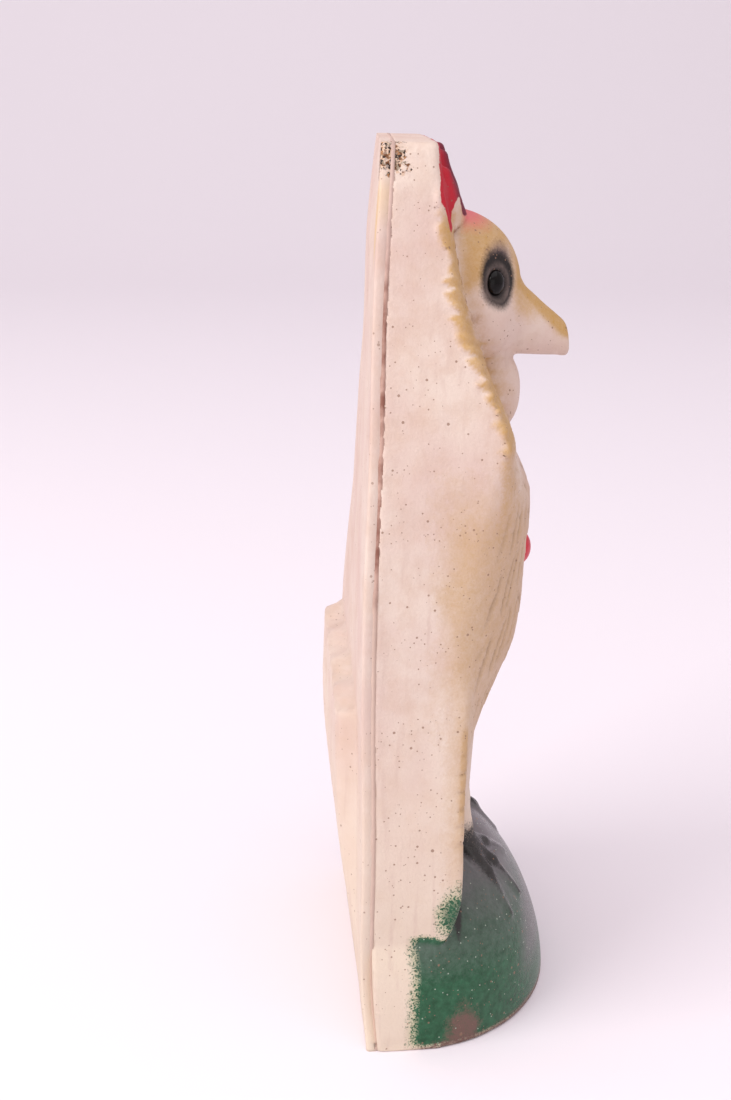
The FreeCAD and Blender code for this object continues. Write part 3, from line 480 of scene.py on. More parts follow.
def skin(field, low, high, step, rounds=4):
    """A quad mesh over the surface where the field is nothing: one corner in each cell that the surface
    crosses, then drawn on to the surface and evened out."""
    axes = [np.arange(a, b, step) for a, b in zip(low, high)]
    value = np.empty([len(a) for a in axes])
    yy, zz = np.meshgrid(axes[1], axes[2], indexing="ij")
    for i, x in enumerate(axes[0]):
        value[i] = field(np.full_like(yy, x), yy, zz)
    inside = value < 0
    count = np.zeros([n - 1 for n in value.shape], int)
    for i in (0, 1):
        for j in (0, 1):
            for k in (0, 1):
                shape = count.shape
                count += inside[i : i + shape[0], j : j + shape[1], k : k + shape[2]]
    crossed = (count > 0) & (count < 8)
    number = np.full(crossed.shape, -1)
    number[crossed] = np.arange(crossed.sum())
    cells = np.array(np.nonzero(crossed))
    points = (cells + 0.5) * step + np.array(low)[:, None]
    quads = []
    for axis in range(3):
        first = np.take(inside, range(value.shape[axis] - 1), axis)
        second = np.take(inside, range(1, value.shape[axis]), axis)
        at = np.array(np.nonzero(first != second))
        outward = first[tuple(at)]
        b, c = (axis + 1) % 3, (axis + 2) % 3
        corner = []
        for db, dc in ((-1, -1), (0, -1), (0, 0), (-1, 0)):
            cell = at.copy()
            cell[b] += db
            cell[c] += dc
            corner.append(number[tuple(cell)])
        quad = np.array(corner).T
        quad[~outward] = quad[~outward][:, ::-1]
        quads.append(quad)
    quads = np.concatenate(quads)
    edges = np.concatenate([quads[:, [i, (i + 1) % 4]] for i in range(4)])
    for turn in range(rounds):
        if turn:
            total = np.zeros_like(points)
            for axis in range(3):
                total[axis] = np.bincount(edges[:, 0], points[axis][edges[:, 1]], points.shape[1])
            shared = np.bincount(edges[:, 0], minlength=points.shape[1])
            points = points + 0.6 * (total / shared - points)
        for _ in range(2):
            depth, grad = slope_of(field, points, 0.12)
            move = -depth * grad / ((grad**2).sum(axis=0) + 0.05)
            far = np.sqrt((move**2).sum(axis=0)) + 1e-9
            points = points + move * np.minimum(1.0, 0.7 * step / far)
    return points, quads


def piece(name, points, faces, smooth=True):
    """A mesh object from points in millimetres."""
    mesh = bpy.data.meshes.new(name)
    mesh.vertices.add(points.shape[1])
    mesh.vertices.foreach_set("co", (points.T * MM).astype(np.float32).ravel())
    mesh.loops.add(faces.size)
    mesh.loops.foreach_set("vertex_index", faces.astype(np.int32).ravel())
    mesh.polygons.add(len(faces))
    mesh.polygons.foreach_set("loop_start", np.arange(len(faces), dtype=np.int32) * faces.shape[1])
    mesh.polygons.foreach_set("use_smooth", np.full(len(faces), smooth))
    mesh.update(calc_edges=True)
    mesh.validate()
    made = bpy.data.objects.new(name, mesh)
    bpy.context.scene.collection.objects.link(made)
    return made


SKIN_STEP = 0.8
front_points, front_faces = skin(clay, (-48.5, -53.4, -3.0), (50.0, 7.0, CROWN + 3.5), SKIN_STEP)
front = piece("painted_front", front_points, front_faces)
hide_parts("front_shell")
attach(front, "figure")


def spray(name, mesh_object, amount):
    """How much of one paint each corner of the mesh carries, from 0 to 1."""
    layer = mesh_object.data.attributes.new(name, "FLOAT", "POINT")
    layer.data.foreach_set("value", np.clip(amount, 0.0, 1.0).astype(np.float32))


# Where each paint was sprayed, from 0 to 1 at every corner of the mesh.
fx, fy, fz = front_points
fp = (fx, fy, fz)
past_wall = -fy - wall_edge(fz)
drift = lumps(fx, fy, fz, 7.0, 21)
fine_drift = lumps(fx, fy, fz, 2.4, 22)
head_depth = egg(fp, HEAD_AT, HEAD_RADII)
edge_ahead = -fy - ruff_edge(fz)
mound_near = mound_form(fp)
eye_off, eye_deep = eye_distance(fp)
eye_side = (np.abs(eye_deep) < 7).astype(float)

# crimson on the comb, down to two prongs and darker along its front, and pink where it meets the crown
comb_foot = along(
    -fy, (10, 209), (12.6, 205), (14.6, 199.5), (15.8, 205.5), (17.0, 206.5), (18.6, 202.2), (21, 203)
)
crimson = ramp(past_wall + 0.25 * fine_drift, 0.1, 0.5)
crimson = crimson * ramp(fz + 0.6 * fine_drift - comb_foot, -0.7, 0.9) * ramp(head_depth, 0.2, 0.9)
comb_front = ramp(-fy - along(fz, (199, 17.0), (205, 16.4), (213, 14.0), (219, 12.0)), -0.6, 1.6)
pink = ramp(np.hypot((fy + 20) / 1.6, fz - 204.5), 7.5, 1.5) * ramp(-fy, 17.0, 19.0) * ramp(np.abs(fx), 13, 6)

# ochre on the ruff's edge, the forehead, the front of the face, the beak's bridge and the throat's edge
on_ruff = ramp(edge_ahead + 0.5 * fine_drift, -0.2, 1.2) * ramp(fz, 146, 154) * ramp(fz, 207, 201)
on_ruff = on_ruff * ramp(edge_ahead - 0.6 * drift - 0.4 * fine_drift, 7.6, 4.0)
crown_ochre = ramp(fz + 1.5 * drift - 0.9 * (-fy - 30), 190, 198) * ramp(-fy, 15, 20) * ramp(fz, 208, 204)
front_of_face = ramp(-fy + 1.0 * drift + 0.25 * (fz - 190), 28, 32.5) * ramp(fz, 176, 182) * ramp(-fy, 43, 36)
face_edge = ramp(edge_ahead, 3.0, 5.0) * ramp(edge_ahead - 0.5 * drift, 10.5, 6.0)
face_edge = face_edge * ramp(fz, 152, 164) * ramp(fz, 198, 186)
crown_ochre = np.maximum.reduce([crown_ochre, 0.8 * front_of_face, 0.34 * face_edge])
bridge = ramp(-fy, 30, 33) * ramp(fz - (186.2 - (-fy - 35.5) * 0.95) + 0.5 * drift, -5.6, -2.6)
bridge = bridge * ramp(fz, 172, 174)
ochre = np.maximum.reduce([0.8 * on_ruff * ramp(head_depth, -0.5, 1.4), 0.8 * crown_ochre, 0.9 * bridge])
lobe_shade = ramp(edge_ahead, -1, 1) * ramp(edge_ahead, 7, 2) * ramp(fz, 128, 146) * ramp(fz, 172, 160)
ochre = np.maximum(ochre, 0.5 * lobe_shade)

# tan in the belly's shade and along the lower wall's front edge
belly_band = ramp(-fy + 2.4 * drift, 8.5, 17) * ramp(-fy, 44, 32) * ramp(fz, 78, 104) * ramp(fz, 152, 130)
belly_under = ramp(-fy, 16, 23) * ramp(fz, 70, 84) * ramp(fz, 116, 96)
low_edge = ramp(past_wall + 0.8 * drift, -7.5, -0.5) * ramp(fz, 38, 58) * ramp(fz, 104, 90)
low_edge = low_edge * ramp(-fy, 24, 20)
edge_line = ramp(np.abs(past_wall + 0.6), 1.6, 0.4) * ramp(fz, 56, 66) * ramp(fz, 92, 84)
tan = np.maximum.reduce([0.72 * belly_band, 0.6 * belly_under, 0.6 * low_edge, edge_line])

# black sprayed round the eye, a paler ring in it, and a dusky shade above
beside_eye = (np.abs(fx) - EYE_AT[0]) * EYE_OUT[1] - (fy - EYE_AT[1] + 0.6) * EYE_OUT[0]
smoke_off = np.hypot(beside_eye, (fz - EYE_AT[2] - 1.0) * 0.8)
smoke = eye_side * ramp(smoke_off + 0.4 * drift, 6.6, 3.6)
ring = eye_side * np.exp(-(((eye_off - 3.5) / 0.55) ** 2)) * (0.55 + 0.45 * fine_drift)
shade_off = np.hypot((fy + 27.0) * 1.1, (fz - 193.0) * 1.1)
shade_above = eye_side * ramp(shade_off + 0.6 * drift, 5.5, 1.0) * ramp(head_depth, 3.0, 1.0)
shade_above = shade_above * ramp(np.abs(fx), 4, 8)

# darker brown along the cut feather strokes, chips on the beak's tip, and painted shadow: a brown line in the
# crease where the head leaves the ruff
strokes = 0.8 * feather_relief(fp)[1] * ramp(edge_ahead, 0, 2)
beak_chips = ramp(-fy, 45.4, 46.6) * ramp(fine_drift, 0.22, 0.4) * ramp(fz, 176.5, 175)
# painted shadow in the crease where the head leaves the ruff
ruff_crease_shadow = ramp(np.abs(head_depth - 1.1), 0.9, 0.2) * ramp(fz, 176, 184) * ramp(fz, 204, 198)
ruff_crease_shadow = ruff_crease_shadow * ramp(edge_ahead, 1.5, 3.0) * ramp(edge_ahead, 9, 6)

# green over the mound with a spill on the wall, mauve grey on its crest, painted shade in the recess between
# the wall and the mound, a worn brown patch at the foot, and along the floor edge brown bare rubber and
# painted contact shadow
mound_face = ramp(mound_near, 1.6, 0.4)
rear_border = ramp(-fy + 0.8 * drift + 0.3 * fine_drift, 6.5, 12.0)
green = ramp(mound_near, 3.5, 2.0) * rear_border * ramp(fz, 0.6, 2.0) * ramp(fz, 62, 50)
edge_spill = ramp(np.hypot(-fy - 18.5, (fz - 37) * 0.55) + 0.8 * fine_drift, 6.0, 1.5)
edge_spill = edge_spill * ramp(np.abs(fx), 30, 34)
green = np.maximum(green, 0.8 * edge_spill)
mauve = 0.92 * ramp(mound_near, 3.5, 2.0) * ramp(past_wall, 0.0, 1.5)
mauve = mauve * ramp(fz + 0.25 * (-fy - 20) + 2.0 * drift, 24.0, 42.0)
mauve = np.maximum(mauve, 0.35 * mound_face * rear_border * ramp(fz, 16, 28))
front_mauve = mound_face * ramp(-fy, 36, 44) * ramp(fz, 6, 16) * ramp(np.abs(fx + 4), 40, 20)
mauve = np.maximum(mauve, 0.75 * front_mauve)
# painted shade: dark grey in the recess between the wall's front edge and the mound, and under the wall's
# edge
recess = ramp(past_wall, -0.4, 0.6) * ramp(fz, 52, 44) * (1 - mound_face)
under_wall = ramp(np.hypot((-fy - 20.5) / 1.3, (fz - 38) / 9.0), 1.5, 0.7)
under_wall = under_wall * ramp(np.abs(fx), 22, 32) * ramp(past_wall, -0.5, 0.8)
recess_shade = np.maximum(0.9 * recess, under_wall)
worn_and_contact_shadow = mound_face * ramp(np.hypot(fy + 23, (fz - 3.0) * 0.8) + 2.2 * drift + 1.2 * fine_drift, 6.5, 2.5)
# brown along the floor edge: bare rubber there, and painted contact shadow
worn_and_contact_shadow = np.maximum(worn_and_contact_shadow, mound_face * ramp(fz + 0.5 * drift, 2.6, 1.0) * ramp(-fy, 8, 14))

# two patches at the crown's corner where the rubber has perished
corner_patch = np.sqrt((fx + 14) ** 2 + (fy + 1.2) ** 2 + ((fz - 215.5) * 0.8) ** 2)
wall_patch = np.sqrt((fx + 14.5) ** 2 + ((fy + 4.6) * 0.9) ** 2 + ((fz - 212.8) * 0.9) ** 2) + 0.8
crumble = ramp(np.minimum(corner_patch, wall_patch) + 0.9 * fine_drift, 4.4, 2.4)
sprayed = {
    "crumble": crumble, "ring": ring, "ruff_crease_shadow": ruff_crease_shadow, "beak_chips": beak_chips,
    "comb_front": comb_front, "strokes": strokes, "crimson": crimson, "pink": pink, "ochre": ochre,
    "tan": tan, "smoke": smoke, "shade": shade_above, "green": green, "mauve": mauve, "recess_shade": recess_shade,
    "worn_and_contact_shadow": worn_and_contact_shadow,
}
for name, amount in sprayed.items():
    spray(name, front, amount)


def place_of(paint):
    """The object's own coordinates, in millimetres."""
    at = paint.add("TexCoord").outputs["Object"]
    return paint.add("VectorMath", {0: at, "Scale": 1000.0}, operation="SCALE").outputs[0]


def over(paint, below, colour, amount):
    """One colour laid over another by an amount."""
    mix = paint.add("Mix", {0: amount}, data_type="RGBA")
    paint.set(mix.inputs[6], below)
    paint.set(mix.inputs[7], colour if isinstance(colour, bpy.types.NodeSocket) else linear(colour))
    return mix.outputs[2]


def aged_rubber(paint, at):
    """Aged moulding rubber: clouded pinkish cream, more yellow towards the foot, with grubby blotches and
    streaks. Returns its colour and a mask of its pinholes."""
    cloud = paint.add("TexNoise", {"Vector": at, "Scale": 0.035, "Detail": 4.0, "Roughness": 0.6})
    cream = paint.add("ValToRGB", {"Fac": cloud})
    cream.color_ramp.elements[0].position, cream.color_ramp.elements[1].position = 0.36, 0.64
    cream.color_ramp.elements[0].color = linear("#D3B9AE")
    cream.color_ramp.elements[1].color = linear("#DCC9BC")
    height = paint.add("SeparateXYZ", {0: at}).outputs["Z"]
    lower = paint.add("MapRange", {"Value": height, 1: 95.0, 2: 25.0}).outputs[0]
    blotch = paint.add("TexNoise", {"Vector": at, "Scale": 0.11, "Detail": 5.0, "Roughness": 0.65}).outputs[0]
    blotched = paint.add("MapRange", {"Value": blotch, 1: 0.45, 2: 0.75, 4: 0.55}).outputs[0]
    grubby = over(paint, cream.outputs[0], "#C7A690", blotched)
    # paler and yellower towards the foot
    paler_low_down = paint.add("Math", {0: lower, 1: 0.75}, operation="MULTIPLY").outputs[0]
    aged = over(paint, grubby, "#DFCFBB", paler_low_down)
    # pinholes up to 1 mm wide where bubbles broke in the mould, in drifts
    crowd = paint.add("TexNoise", {"Vector": at, "Scale": 0.045, "Detail": 2.0})
    holes = None
    for cell_mm, radius_mm, rarity in ((5.2, 0.45, 0.66), (2.1, 0.28, 0.4), (1.25, 0.18, 0.4)):
        dots = paint.add("TexVoronoi", {"Vector": at, "Scale": 1 / cell_mm, "Randomness": 1.0})
        tint = paint.add("SeparateColor", {"Color": dots.outputs["Color"]})
        share = radius_mm / cell_mm
        size = paint.add("MapRange", {"Value": tint.outputs[1], 3: share * 0.45, 4: share * 1.2})
        depth = paint.add("Math", {0: dots.outputs["Distance"], 1: size.outputs[0]}, operation="LESS_THAN")
        bar = paint.add("MapRange", {"Value": crowd.outputs[0], 1: 0.34, 2: 0.58, 3: 0.95, 4: rarity})
        some = paint.add("Math", {0: tint.outputs[0], 1: bar.outputs[0]}, operation="GREATER_THAN")
        hole = paint.add("Math", {0: depth, 1: some}, operation="MULTIPLY")
        holes = hole if holes is None else paint.add("Math", {0: holes, 1: hole}, operation="MAXIMUM")
    drawn = paint.add("Mapping", {"Vector": at, "Scale": (0.5, 0.5, 0.05)})
    streak = paint.add("TexNoise", {"Vector": drawn, "Scale": 1.0, "Detail": 4.0}).outputs[0]
    streaked = paint.add("MapRange", {"Value": streak, 1: 0.55, 2: 0.72, 4: 0.4}).outputs[0]
    return over(paint, aged, "#C9AFA2", streaked), holes.outputs[0]


def crumbled(paint, at, colour, amount):
    """Perished rubber where the skin has crumbled into dark brown, tan and pale crumbs about 0.5 mm wide."""
    wobble = paint.add("TexNoise", {"Vector": at, "Scale": 1.2, "Detail": 3.0}).outputs["Color"]
    reach = (1.6, 1.6, 1.6)
    shaken = paint.add("VectorMath", {0: wobble, 1: reach, 2: at}, operation="MULTIPLY_ADD").outputs[0]
    crumbs = paint.add("TexVoronoi", {"Vector": shaken, "Scale": 1.9, "Randomness": 1.0})
    shade = paint.add("SeparateColor", {"Color": crumbs.outputs["Color"]})
    tone = paint.add("ValToRGB", {"Fac": shade.outputs[0]})
    tone.color_ramp.interpolation = "CONSTANT"
    tone.color_ramp.elements[0].color = linear("#2A1A12")
    tone.color_ramp.elements[1].position = 0.26
    tone.color_ramp.elements[1].color = linear("#6E4324")
    for position, crumb in ((0.42, "#A06F45"), (0.55, "#D2B49C"), (0.82, "#94826F")):
        tone.color_ramp.elements.new(position).color = linear(crumb)
    some = paint.add("Math", {0: shade.outputs[1], 1: 0.75, 2: amount}, operation="MULTIPLY_ADD")
    cover = paint.add("MapRange", {"Value": some, 1: 0.95, 2: 1.15}).outputs[0]
    return over(paint, colour, tone.outputs[0], cover)


def front_material():
    """Moulded rubber under airbrushed paint. Bare rubber is matt, and the thick green and crimson shine a
    little, so the mound catches the lamps while the wall stays soft."""
    paint = Paint("airbrushed_moulded_rubber")
    at = place_of(paint)
    colour, holes = aged_rubber(paint, at)
    mist = paint.add("TexNoise", {"Vector": at, "Scale": 0.55, "Detail": 5.0, "Roughness": 0.7}).outputs[0]
    grit = paint.add("TexVoronoi", {"Vector": at, "Scale": 2.6, "Randomness": 1.0})
    grit_tint = paint.add("SeparateColor", {"Color": grit.outputs["Color"]}).outputs[0]

    def layer(name, softness, speckle):
        """A sprayed layer's cover: soft where the gun was held off, broken into specks at its edge."""
        amount = paint.add("Attribute", attribute_name=name).outputs["Fac"]
        cloud = paint.add("Math", {0: mist, 1: 0.5}, operation="SUBTRACT")
        cloudy = paint.add("Math", {0: cloud, 1: softness, 2: amount}, operation="MULTIPLY_ADD")
        specks = paint.add("Math", {0: grit_tint, 1: 0.5}, operation="SUBTRACT")
        broken = paint.add("Math", {0: specks, 1: speckle, 2: cloudy}, operation="MULTIPLY_ADD")
        inside = paint.add("Math", {0: amount, 1: 0.03}, operation="GREATER_THAN")
        return paint.add("Math", {0: broken, 1: inside}, operation="MULTIPLY", use_clamp=True).outputs[0]

    def sharp(socket, low, high):
        return paint.add("MapRange", {"Value": socket, 1: low, 2: high}).outputs[0]

    colour = over(paint, colour, "#C2A078", layer("tan", 0.8, 0.12))
    # darker brown along the cut feather strokes
    colour = over(paint, colour, "#A2866A", layer("strokes", 0.3, 0.1))
    colour = over(paint, colour, "#BE9453", layer("ochre", 0.55, 0.14))
    colour = over(paint, colour, "#DC6F74", layer("pink", 0.3, 0.1))
    colour = over(paint, colour, "#6E5A5C", layer("shade", 0.4, 0.2))
    colour = over(paint, colour, "#1E1614", sharp(layer("smoke", 0.3, 0.12), 0.05, 0.75))
    colour = over(paint, colour, "#75655F", layer("ring", 0.1, 0.1))
    colour = over(paint, colour, "#3B2A22", sharp(layer("beak_chips", 0.2, 0.2), 0.3, 0.6))
    # painted shadow: a brown line in the crease where the head leaves the ruff
    colour = over(paint, colour, "#8A5B34", layer("ruff_crease_shadow", 0.4, 0.1))
    comb_edge = paint.add("Attribute", attribute_name="comb_front").outputs["Fac"]
    crimson_edge = paint.add("ValToRGB", {"Fac": comb_edge})
    crimson_edge.color_ramp.elements[0].color = linear("#B8172B")
    crimson_edge.color_ramp.elements[1].color = linear("#6E1830")
    colour = over(paint, colour, crimson_edge.outputs[0], sharp(layer("crimson", 0.1, 0.1), 0.35, 0.65))
    spray_dots = layer("green", 0.5, 1.0)
    full = paint.add("Attribute", attribute_name="green").outputs["Fac"]
    solid_green = paint.add("MapRange", {"Value": full, 1: 0.5, 2: 0.85}).outputs[0]
    dotted = sharp(spray_dots, 0.3, 0.8)
    green_cover = paint.add("Math", {0: dotted, 1: solid_green}, operation="MAXIMUM").outputs[0]
    deep = paint.add("ValToRGB", {"Fac": mist})
    deep.color_ramp.elements[0].position, deep.color_ramp.elements[1].position = 0.35, 0.7
    deep.color_ramp.elements[0].color = linear("#0F4527")
    deep.color_ramp.elements[1].color = linear("#2C6444")
    misted = paint.add("Math", {0: sharp(full, 0.02, 0.5), 1: 0.55}, operation="MULTIPLY").outputs[0]
    colour = over(paint, colour, "#A7AE83", misted)
    colour = over(paint, colour, deep.outputs[0], green_cover)
    colour = over(paint, colour, "#6F686C", layer("mauve", 0.5, 0.1))
    # painted shade in the recess between the wall and the mound
    colour = over(paint, colour, "#33302F", sharp(layer("recess_shade", 0.4, 0.3), 0.2, 0.8))
    # brown: the worn patch at the foot, and the floor edge, partly painted contact shadow
    colour = over(paint, colour, "#6E5148", layer("worn_and_contact_shadow", 1.2, 0.5))
    # the pinholes drawn darker brown
    pinhole_darkening = paint.add("Math", {0: holes, 1: 0.75}, operation="MULTIPLY").outputs[0]
    colour = over(paint, colour, "#8C6B57", pinhole_darkening)
    colour = crumbled(paint, at, colour, paint.add("Attribute", attribute_name="crumble").outputs["Fac"])
    # pale flecks in the green: painted highlights, small glints on the glossy paint
    flecks = paint.add("TexVoronoi", {"Vector": at, "Scale": 0.9, "Randomness": 1.0})
    fleck = paint.add("Math", {0: flecks.outputs["Distance"], 1: 0.16}, operation="LESS_THAN")
    fleck_tint = paint.add("SeparateColor", {"Color": flecks.outputs["Color"]}).outputs[0]
    few = paint.add("Math", {0: fleck_tint, 1: 0.82}, operation="GREATER_THAN")
    fleck = paint.add("Math", {0: fleck, 1: few}, operation="MULTIPLY")
    fleck = paint.add("Math", {0: fleck, 1: green_cover}, operation="MULTIPLY")
    glint_flecks = paint.add("Math", {0: fleck, 1: 0.6}, operation="MULTIPLY").outputs[0]
    colour = over(paint, colour, "#C9D3C2", glint_flecks)
    painted = paint.add("Math", {0: green_cover, 1: 0.36}, operation="MULTIPLY").outputs[0]
    rough = paint.add("Math", {0: 0.62, 1: painted}, operation="SUBTRACT").outputs[0]
    grain = paint.add("TexNoise", {"Vector": at, "Scale": 1.4, "Detail": 6.0}).outputs[0]
    skin_height = paint.add("Math", {0: holes, 1: -1.2, 2: grain}, operation="MULTIPLY_ADD").outputs[0]
    bump = paint.add("Bump", {"Height": skin_height, "Strength": 0.5, "Distance": 0.00025})
    return paint.finish(Base_Color=colour, Roughness=rough, Normal=bump, Specular_IOR_Level=0.4)


front.data.materials.append(front_material())

# -------------------- moulded back
# The thin moulded back that closes the shell: bowed, unpainted, with rounded edges and a raised tail that
# stops at a ledge. It is one closed skin of rings, one ring at each height.

TAIL_PROUD = 5.2
RING_STEP = 1.2
EDGE_ROUND = 0.7


def tail_rise(x, z):
    """How far the raised tail stands off the back."""
    ledge = 84.0 + 0.07 * (x + 23.0) + 0.8 * np.sin(x * 0.4)
    across = ramp(x, -25.5, -20.0) * ramp(x, 46.0, 36.0)
    upward = ramp(z, 6.0, 62.0) * ramp(z, ledge + 0.9, ledge - 0.9)
    barbs = 0.35 * np.abs(((x - 0.22 * z) / 7.0) % 1.0 - 0.5) * 2
    return (TAIL_PROUD - 0.4 + barbs) * across * upward


def back_skin():
    """One closed ring at each height: the right edge, the outer face, the left edge and the inner face."""
    edge = EDGE_ROUND
    foot, top = [0.0, 0.5, 1.2], [CROWN - 1.2, CROWN - 0.5, CROWN]
    heights = np.concatenate([foot, np.arange(2.4, CROWN - 2.0, RING_STEP), top])
    rings = []
    for z in heights:
        shrink = 0.5 * ramp(np.array(abs(z - CROWN / 2)), CROWN / 2 - 1.2, CROWN / 2)
        half = float(half_width(z)) - float(shrink)
        near_side, far_side = float(back_face(z, -half)), float(back_face(z, half))
        corner = [math.radians(a) for a in (0, 22, 45, 68, 90)]
        edge_curve = [(0.15, -PANEL_THICK), (0.0, 0.15 - PANEL_THICK)]
        edge_curve += [(edge * (1 - math.cos(a)), -edge * (1 - math.sin(a))) for a in corner]
        right_edge = [(-half + x, near_side + y) for x, y in edge_curve]
        left_edge = [(half - x, far_side + y) for x, y in reversed(edge_curve)]
        across = np.linspace(-half + edge, half - edge, 74)[1:-1]
        rise = tail_rise(across, z) + 0.15 * lumps(across, 0 * across, 0 * across + z, 14.0, 31)
        rows = list(zip(across, back_face(z, across) + rise))
        inner_x = np.linspace(half - edge, -half + edge, 24)[1:-1]
        inner = [(x, float(back_face(z, x)) - PANEL_THICK) for x in inner_x]
        rings.append([(x, y, z) for x, y in right_edge + rows + left_edge + inner])
    points = np.array(rings).reshape(-1, 3).T
    size = len(rings[0])
    faces = []
    for i in range(len(rings) - 1):
        for j in range(size):
            k = (j + 1) % size
            faces.append((i * size + j, i * size + k, (i + 1) * size + k, (i + 1) * size + j))
    mesh = bpy.data.meshes.new("moulded_back")
    last = (len(rings) - 1) * size
    caps = [tuple(range(size - 1, -1, -1)), tuple(range(last, last + size))]
    outward = [tuple(reversed(face)) for face in faces + caps]
    mesh.from_pydata([tuple(v) for v in (points.T * MM)], [], outward)
    mesh.polygons.foreach_set("use_smooth", [True] * len(faces) + [False] * 2)
    made = bpy.data.objects.new("moulded_back", mesh)
    bpy.context.scene.collection.objects.link(made)
    return made


back = back_skin()
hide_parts("back_panel")
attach(back, "figure")


def back_material():
    """The same rubber without paint: matt cream, with a yellow stain run down from the perished corner."""
    paint = Paint("plain_moulded_rubber")
    at = place_of(paint)
    colour, holes = aged_rubber(paint, at)
    # the pinholes drawn darker brown
    pinhole_darkening = paint.add("Math", {0: holes, 1: 0.6}, operation="MULTIPLY").outputs[0]
    colour = over(paint, colour, "#8C6B57", pinhole_darkening)
    colour = over(paint, colour, "#D9B98C", paint.add("Attribute", attribute_name="stain").outputs["Fac"])
    colour = crumbled(paint, at, colour, paint.add("Attribute", attribute_name="crumble").outputs["Fac"])
    grain = paint.add("TexNoise", {"Vector": at, "Scale": 1.4, "Detail": 6.0}).outputs[0]
    bump = paint.add("Bump", {"Height": grain, "Strength": 0.4, "Distance": 0.0002})
    return paint.finish(Base_Color=colour, Roughness=0.62, Normal=bump, Specular_IOR_Level=0.4)


bx, by, bz = np.array([v.co for v in back.data.vertices]).T / MM
back_corner = np.sqrt((bx + 14) ** 2 + (by - 0.2) ** 2 + ((bz - 215) * 0.8) ** 2)
spray("crumble", back, ramp(back_corner + 0.8 * lumps(bx, by, bz, 2.4, 22), 5.2, 2.6))
stain = ramp(np.hypot(bx + 16, (bz - 203) * 0.32), 4.5, 1.0) * ramp(bz, 214, 208)
spray("stain", back, stain)
back.data.materials.append(back_material())

# -------------------- seam cement
# A bead of rubber cement squeezed between the two mouldings and trimmed back unevenly, which has darkened
# and holds grime.

BEAD_WIDE, BEAD_DEEP = 1.15, 2.2


def bead_path():
    """The outline's corners in X and Z with the way inwards at each."""
    up = np.arange(0.6, CROWN - 0.6, 1.5)
    side = [(-float(half_width(z)), z, 1.0, 0.0) for z in up]
    crown_half, foot_half = float(half_width(CROWN)), float(half_width(0))
    top = [(x, CROWN, 0.0, -1.0) for x in np.linspace(-crown_half + 0.8, crown_half - 0.8, 20)]
    down = [(-x, z, -1.0, 0.0) for x, z, _, _ in reversed(side)]
    foot = [(x, 0.0, 0.0, 1.0) for x in np.linspace(foot_half - 0.8, -foot_half + 0.8, 40)]
    return side + top + down + foot


def cement_bead():
    """A five-sided bead along the whole outline, a hair below the skins' edges."""
    rings = []
    for x, z, in_x, in_z in bead_path():
        middle = float(back_face(z, x)) - PANEL_THICK - CEMENT_THICK / 2
        noise = float(lumps(np.array(x), np.array(0.0), np.array(z), 3.0, 41))
        buried = 0.5 * float(lumps(np.array(x), np.array(0.0), np.array(z), 23.0, 43))
        recess = 0.04 + 0.05 * noise - 0.1 * min(0.0, buried)
        near, far = recess, recess + BEAD_DEEP
        for depth, y in ((near, -0.5), (near - 0.1, 0.0), (near, 0.5), (far, 0.5), (far, -0.5)):
            rings.append((x + in_x * depth, middle + y * BEAD_WIDE, z + in_z * depth))
    points = np.array(rings).T
    count = points.shape[1] // 5
    faces = []
    for i in range(count):
        for j in range(5):
            a, b = i * 5 + j, i * 5 + (j + 1) % 5
            c, d = ((i + 1) % count) * 5 + (j + 1) % 5, ((i + 1) % count) * 5 + j
            faces.append((a, b, c, d))
    return piece("cement_bead", points, np.array(faces))


bead = cement_bead()
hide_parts("seam_cement")
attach(bead, "figure")


def cement_material():
    """Dull reddish brown where grime has settled, and wiped nearly to the rubber's cream low down and at
    the crown."""
    paint = Paint("grimy_rubber_cement")
    at = place_of(paint)
    stain = paint.add("TexNoise", {"Vector": at, "Scale": 0.18, "Detail": 5.0}).outputs[0]
    tone = paint.add("ValToRGB", {"Fac": stain})
    tone.color_ramp.elements[0].position, tone.color_ramp.elements[1].position = 0.4, 0.62
    tone.color_ramp.elements[0].color = linear("#8A5B4C")
    tone.color_ramp.elements[1].color = linear("#C4A091")
    height = paint.add("SeparateXYZ", {0: at}).outputs["Z"]
    lower = paint.add("MapRange", {"Value": height, 1: 126.0, 2: 112.0, 4: 0.85}).outputs[0]
    upper = paint.add("MapRange", {"Value": height, 1: 186.0, 2: 200.0, 4: 0.6}).outputs[0]
    colour = over(paint, over(paint, tone.outputs[0], "#D2B9AA", lower), "#D8BFB4", upper)
    return paint.finish(Base_Color=colour, Roughness=0.8)


bead.data.materials.append(cement_material())

# -------------------- eyes
# Domed black beads pressed into the sockets from outside; their shanks are not modelled. Polished, so they
# catch the lamps.


def bead_mesh(name, centre, outward, radius, tall):
    """A flattened ball whose near side shows, on an axis."""
    outward = Vector(outward).normalized()
    mesh = bpy.data.meshes.new(name)
    verts, faces = [], []
    rings_n, around = 16, 48
    turn = outward.to_track_quat("Z", "Y").to_matrix()
    for i in range(rings_n + 1):
        a = math.pi * i / rings_n
        for j in range(around):
            b = 2 * math.pi * j / around
            across, up, out = math.sin(a) * math.cos(b), tall * math.sin(a) * math.sin(b), 0.8 * math.cos(a)
            local = Vector((radius * across, radius * up, radius * out))
            verts.append((Vector(centre) + turn @ local) * MM)
    for i in range(rings_n):
        for j in range(around):
            k = (j + 1) % around
            faces.append((i * around + j, (i + 1) * around + j, (i + 1) * around + k, i * around + k))
    mesh.from_pydata(verts, [], faces)
    mesh.polygons.foreach_set("use_smooth", [True] * len(faces))
    made = bpy.data.objects.new(name, mesh)
    bpy.context.scene.collection.objects.link(made)
    return made


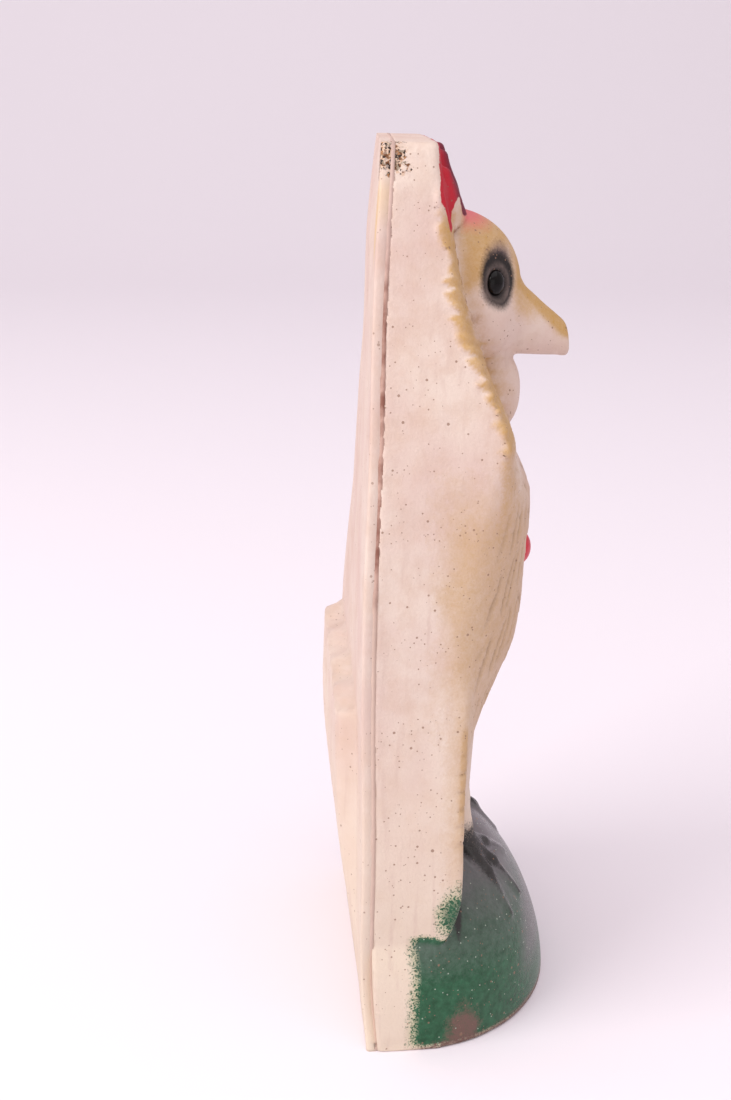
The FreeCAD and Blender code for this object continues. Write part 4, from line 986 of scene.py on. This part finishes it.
# polished black plastic: nearly no colour, and a small soft glint
eye_paint = Paint("polished_black_bead")
eye_cloud = eye_paint.add("TexNoise", {"Vector": place_of(eye_paint), "Scale": 0.9, "Detail": 3.0}).outputs[0]
eye_tone = eye_paint.add("ValToRGB", {"Fac": eye_cloud})
eye_tone.color_ramp.elements[0].color = linear("#060505")
eye_tone.color_ramp.elements[1].color = linear("#120D0C")
eye_rough = eye_paint.add("MapRange", {"Value": eye_cloud, 3: 0.06, 4: 0.2}).outputs[0]
eye_material = eye_paint.finish(Base_Color=eye_tone, Roughness=eye_rough, Specular_IOR_Level=0.18)
for side, sign in (("left", 1), ("right", -1)):
    centre = EYE_AT * (sign, 1, 1) - EYE_OUT * (sign, 1, 1) * 1.5
    eye = bead_mesh(f"bead_eye_{side}", centre, EYE_OUT * (sign, 1, 1), 2.75, 1.15)
    eye.data.materials.append(eye_material)
    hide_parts(f"eye_{side}")
    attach(eye, "figure")

# -------------------- chest stud
# A red moulded stud pressed into the breast.

stud_low, stud_high = (np.array(corner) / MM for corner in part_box("chest_stud"))
stud_middle = (stud_low + stud_high) / 2
stud_centre = (stud_middle[0], stud_low[1] + 2.3, stud_middle[2] + 0.4)
stud = bead_mesh("red_stud", stud_centre, (0, -1, 0), (stud_high[0] - stud_low[0]) / 2, 1.0)
# moulded red plastic: clear red that has faded unevenly, with a satin shine
stud_paint = Paint("red_gloss_plastic")
stud_at = place_of(stud_paint)
stud_cloud = stud_paint.add("TexNoise", {"Vector": stud_at, "Scale": 0.6, "Detail": 3.0}).outputs[0]
stud_tone = stud_paint.add("ValToRGB", {"Fac": stud_cloud})
stud_tone.color_ramp.elements[0].color = linear("#B0142A")
stud_tone.color_ramp.elements[1].color = linear("#E23A4A")
stud.data.materials.append(stud_paint.finish(Base_Color=stud_tone, Roughness=0.35))
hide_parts("chest_stud")
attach(stud, "figure")

# -------------------- squeaker
# A stock squeaker: moulded cup, vented cap, slotted block, wedge and a brass reed. Their CAD shapes are
# right, so they keep them and get their finishes.


def moulded_polythene():
    """Yellowed natural polythene: waxy cream with a soft shine and a faint mould grain."""
    paint = Paint("moulded_polythene")
    at = place_of(paint)
    cloud = paint.add("TexNoise", {"Vector": at, "Scale": 0.2, "Detail": 4.0}).outputs[0]
    tone = paint.add("ValToRGB", {"Fac": cloud})
    tone.color_ramp.elements[0].color = linear("#D9CFB6")
    tone.color_ramp.elements[1].color = linear("#EDE6D2")
    fine = paint.add("TexNoise", {"Vector": at, "Scale": 4.0, "Detail": 3.0}).outputs[0]
    bump = paint.add("Bump", {"Height": fine, "Strength": 0.2, "Distance": 0.00005})
    return paint.finish(Base_Color=tone, Roughness=0.45, Normal=bump)


def rolled_brass():
    """Thin rolled brass: fine lines along the tongue that stretch its highlights."""
    paint = Paint("rolled_brass_shim")
    at = place_of(paint)
    stretched = paint.add("Mapping", {"Vector": at, "Scale": (6.0, 0.3, 6.0)})
    lines = paint.add("TexNoise", {"Vector": stretched.outputs[0], "Scale": 2.0, "Detail": 4.0}).outputs[0]
    tone = paint.add("ValToRGB", {"Fac": lines})
    tone.color_ramp.elements[0].color = linear("#A8873F")
    tone.color_ramp.elements[1].color = linear("#CDAF68")
    rough = paint.add("MapRange", {"Value": lines, 3: 0.25, 4: 0.45}).outputs[0]
    return paint.finish(Base_Color=tone, Roughness=rough, Metallic=1.0)


polythene = moulded_polythene()
brass = rolled_brass()
for node, material in (
    ("squeaker_cup", polythene), ("squeaker_cap", polythene), ("reed_block", polythene),
    ("reed_wedge", polythene), ("squeaker_reed", brass),
):
    cad_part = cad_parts[node]
    cad_part.data.materials.clear()
    cad_part.data.materials.append(material)
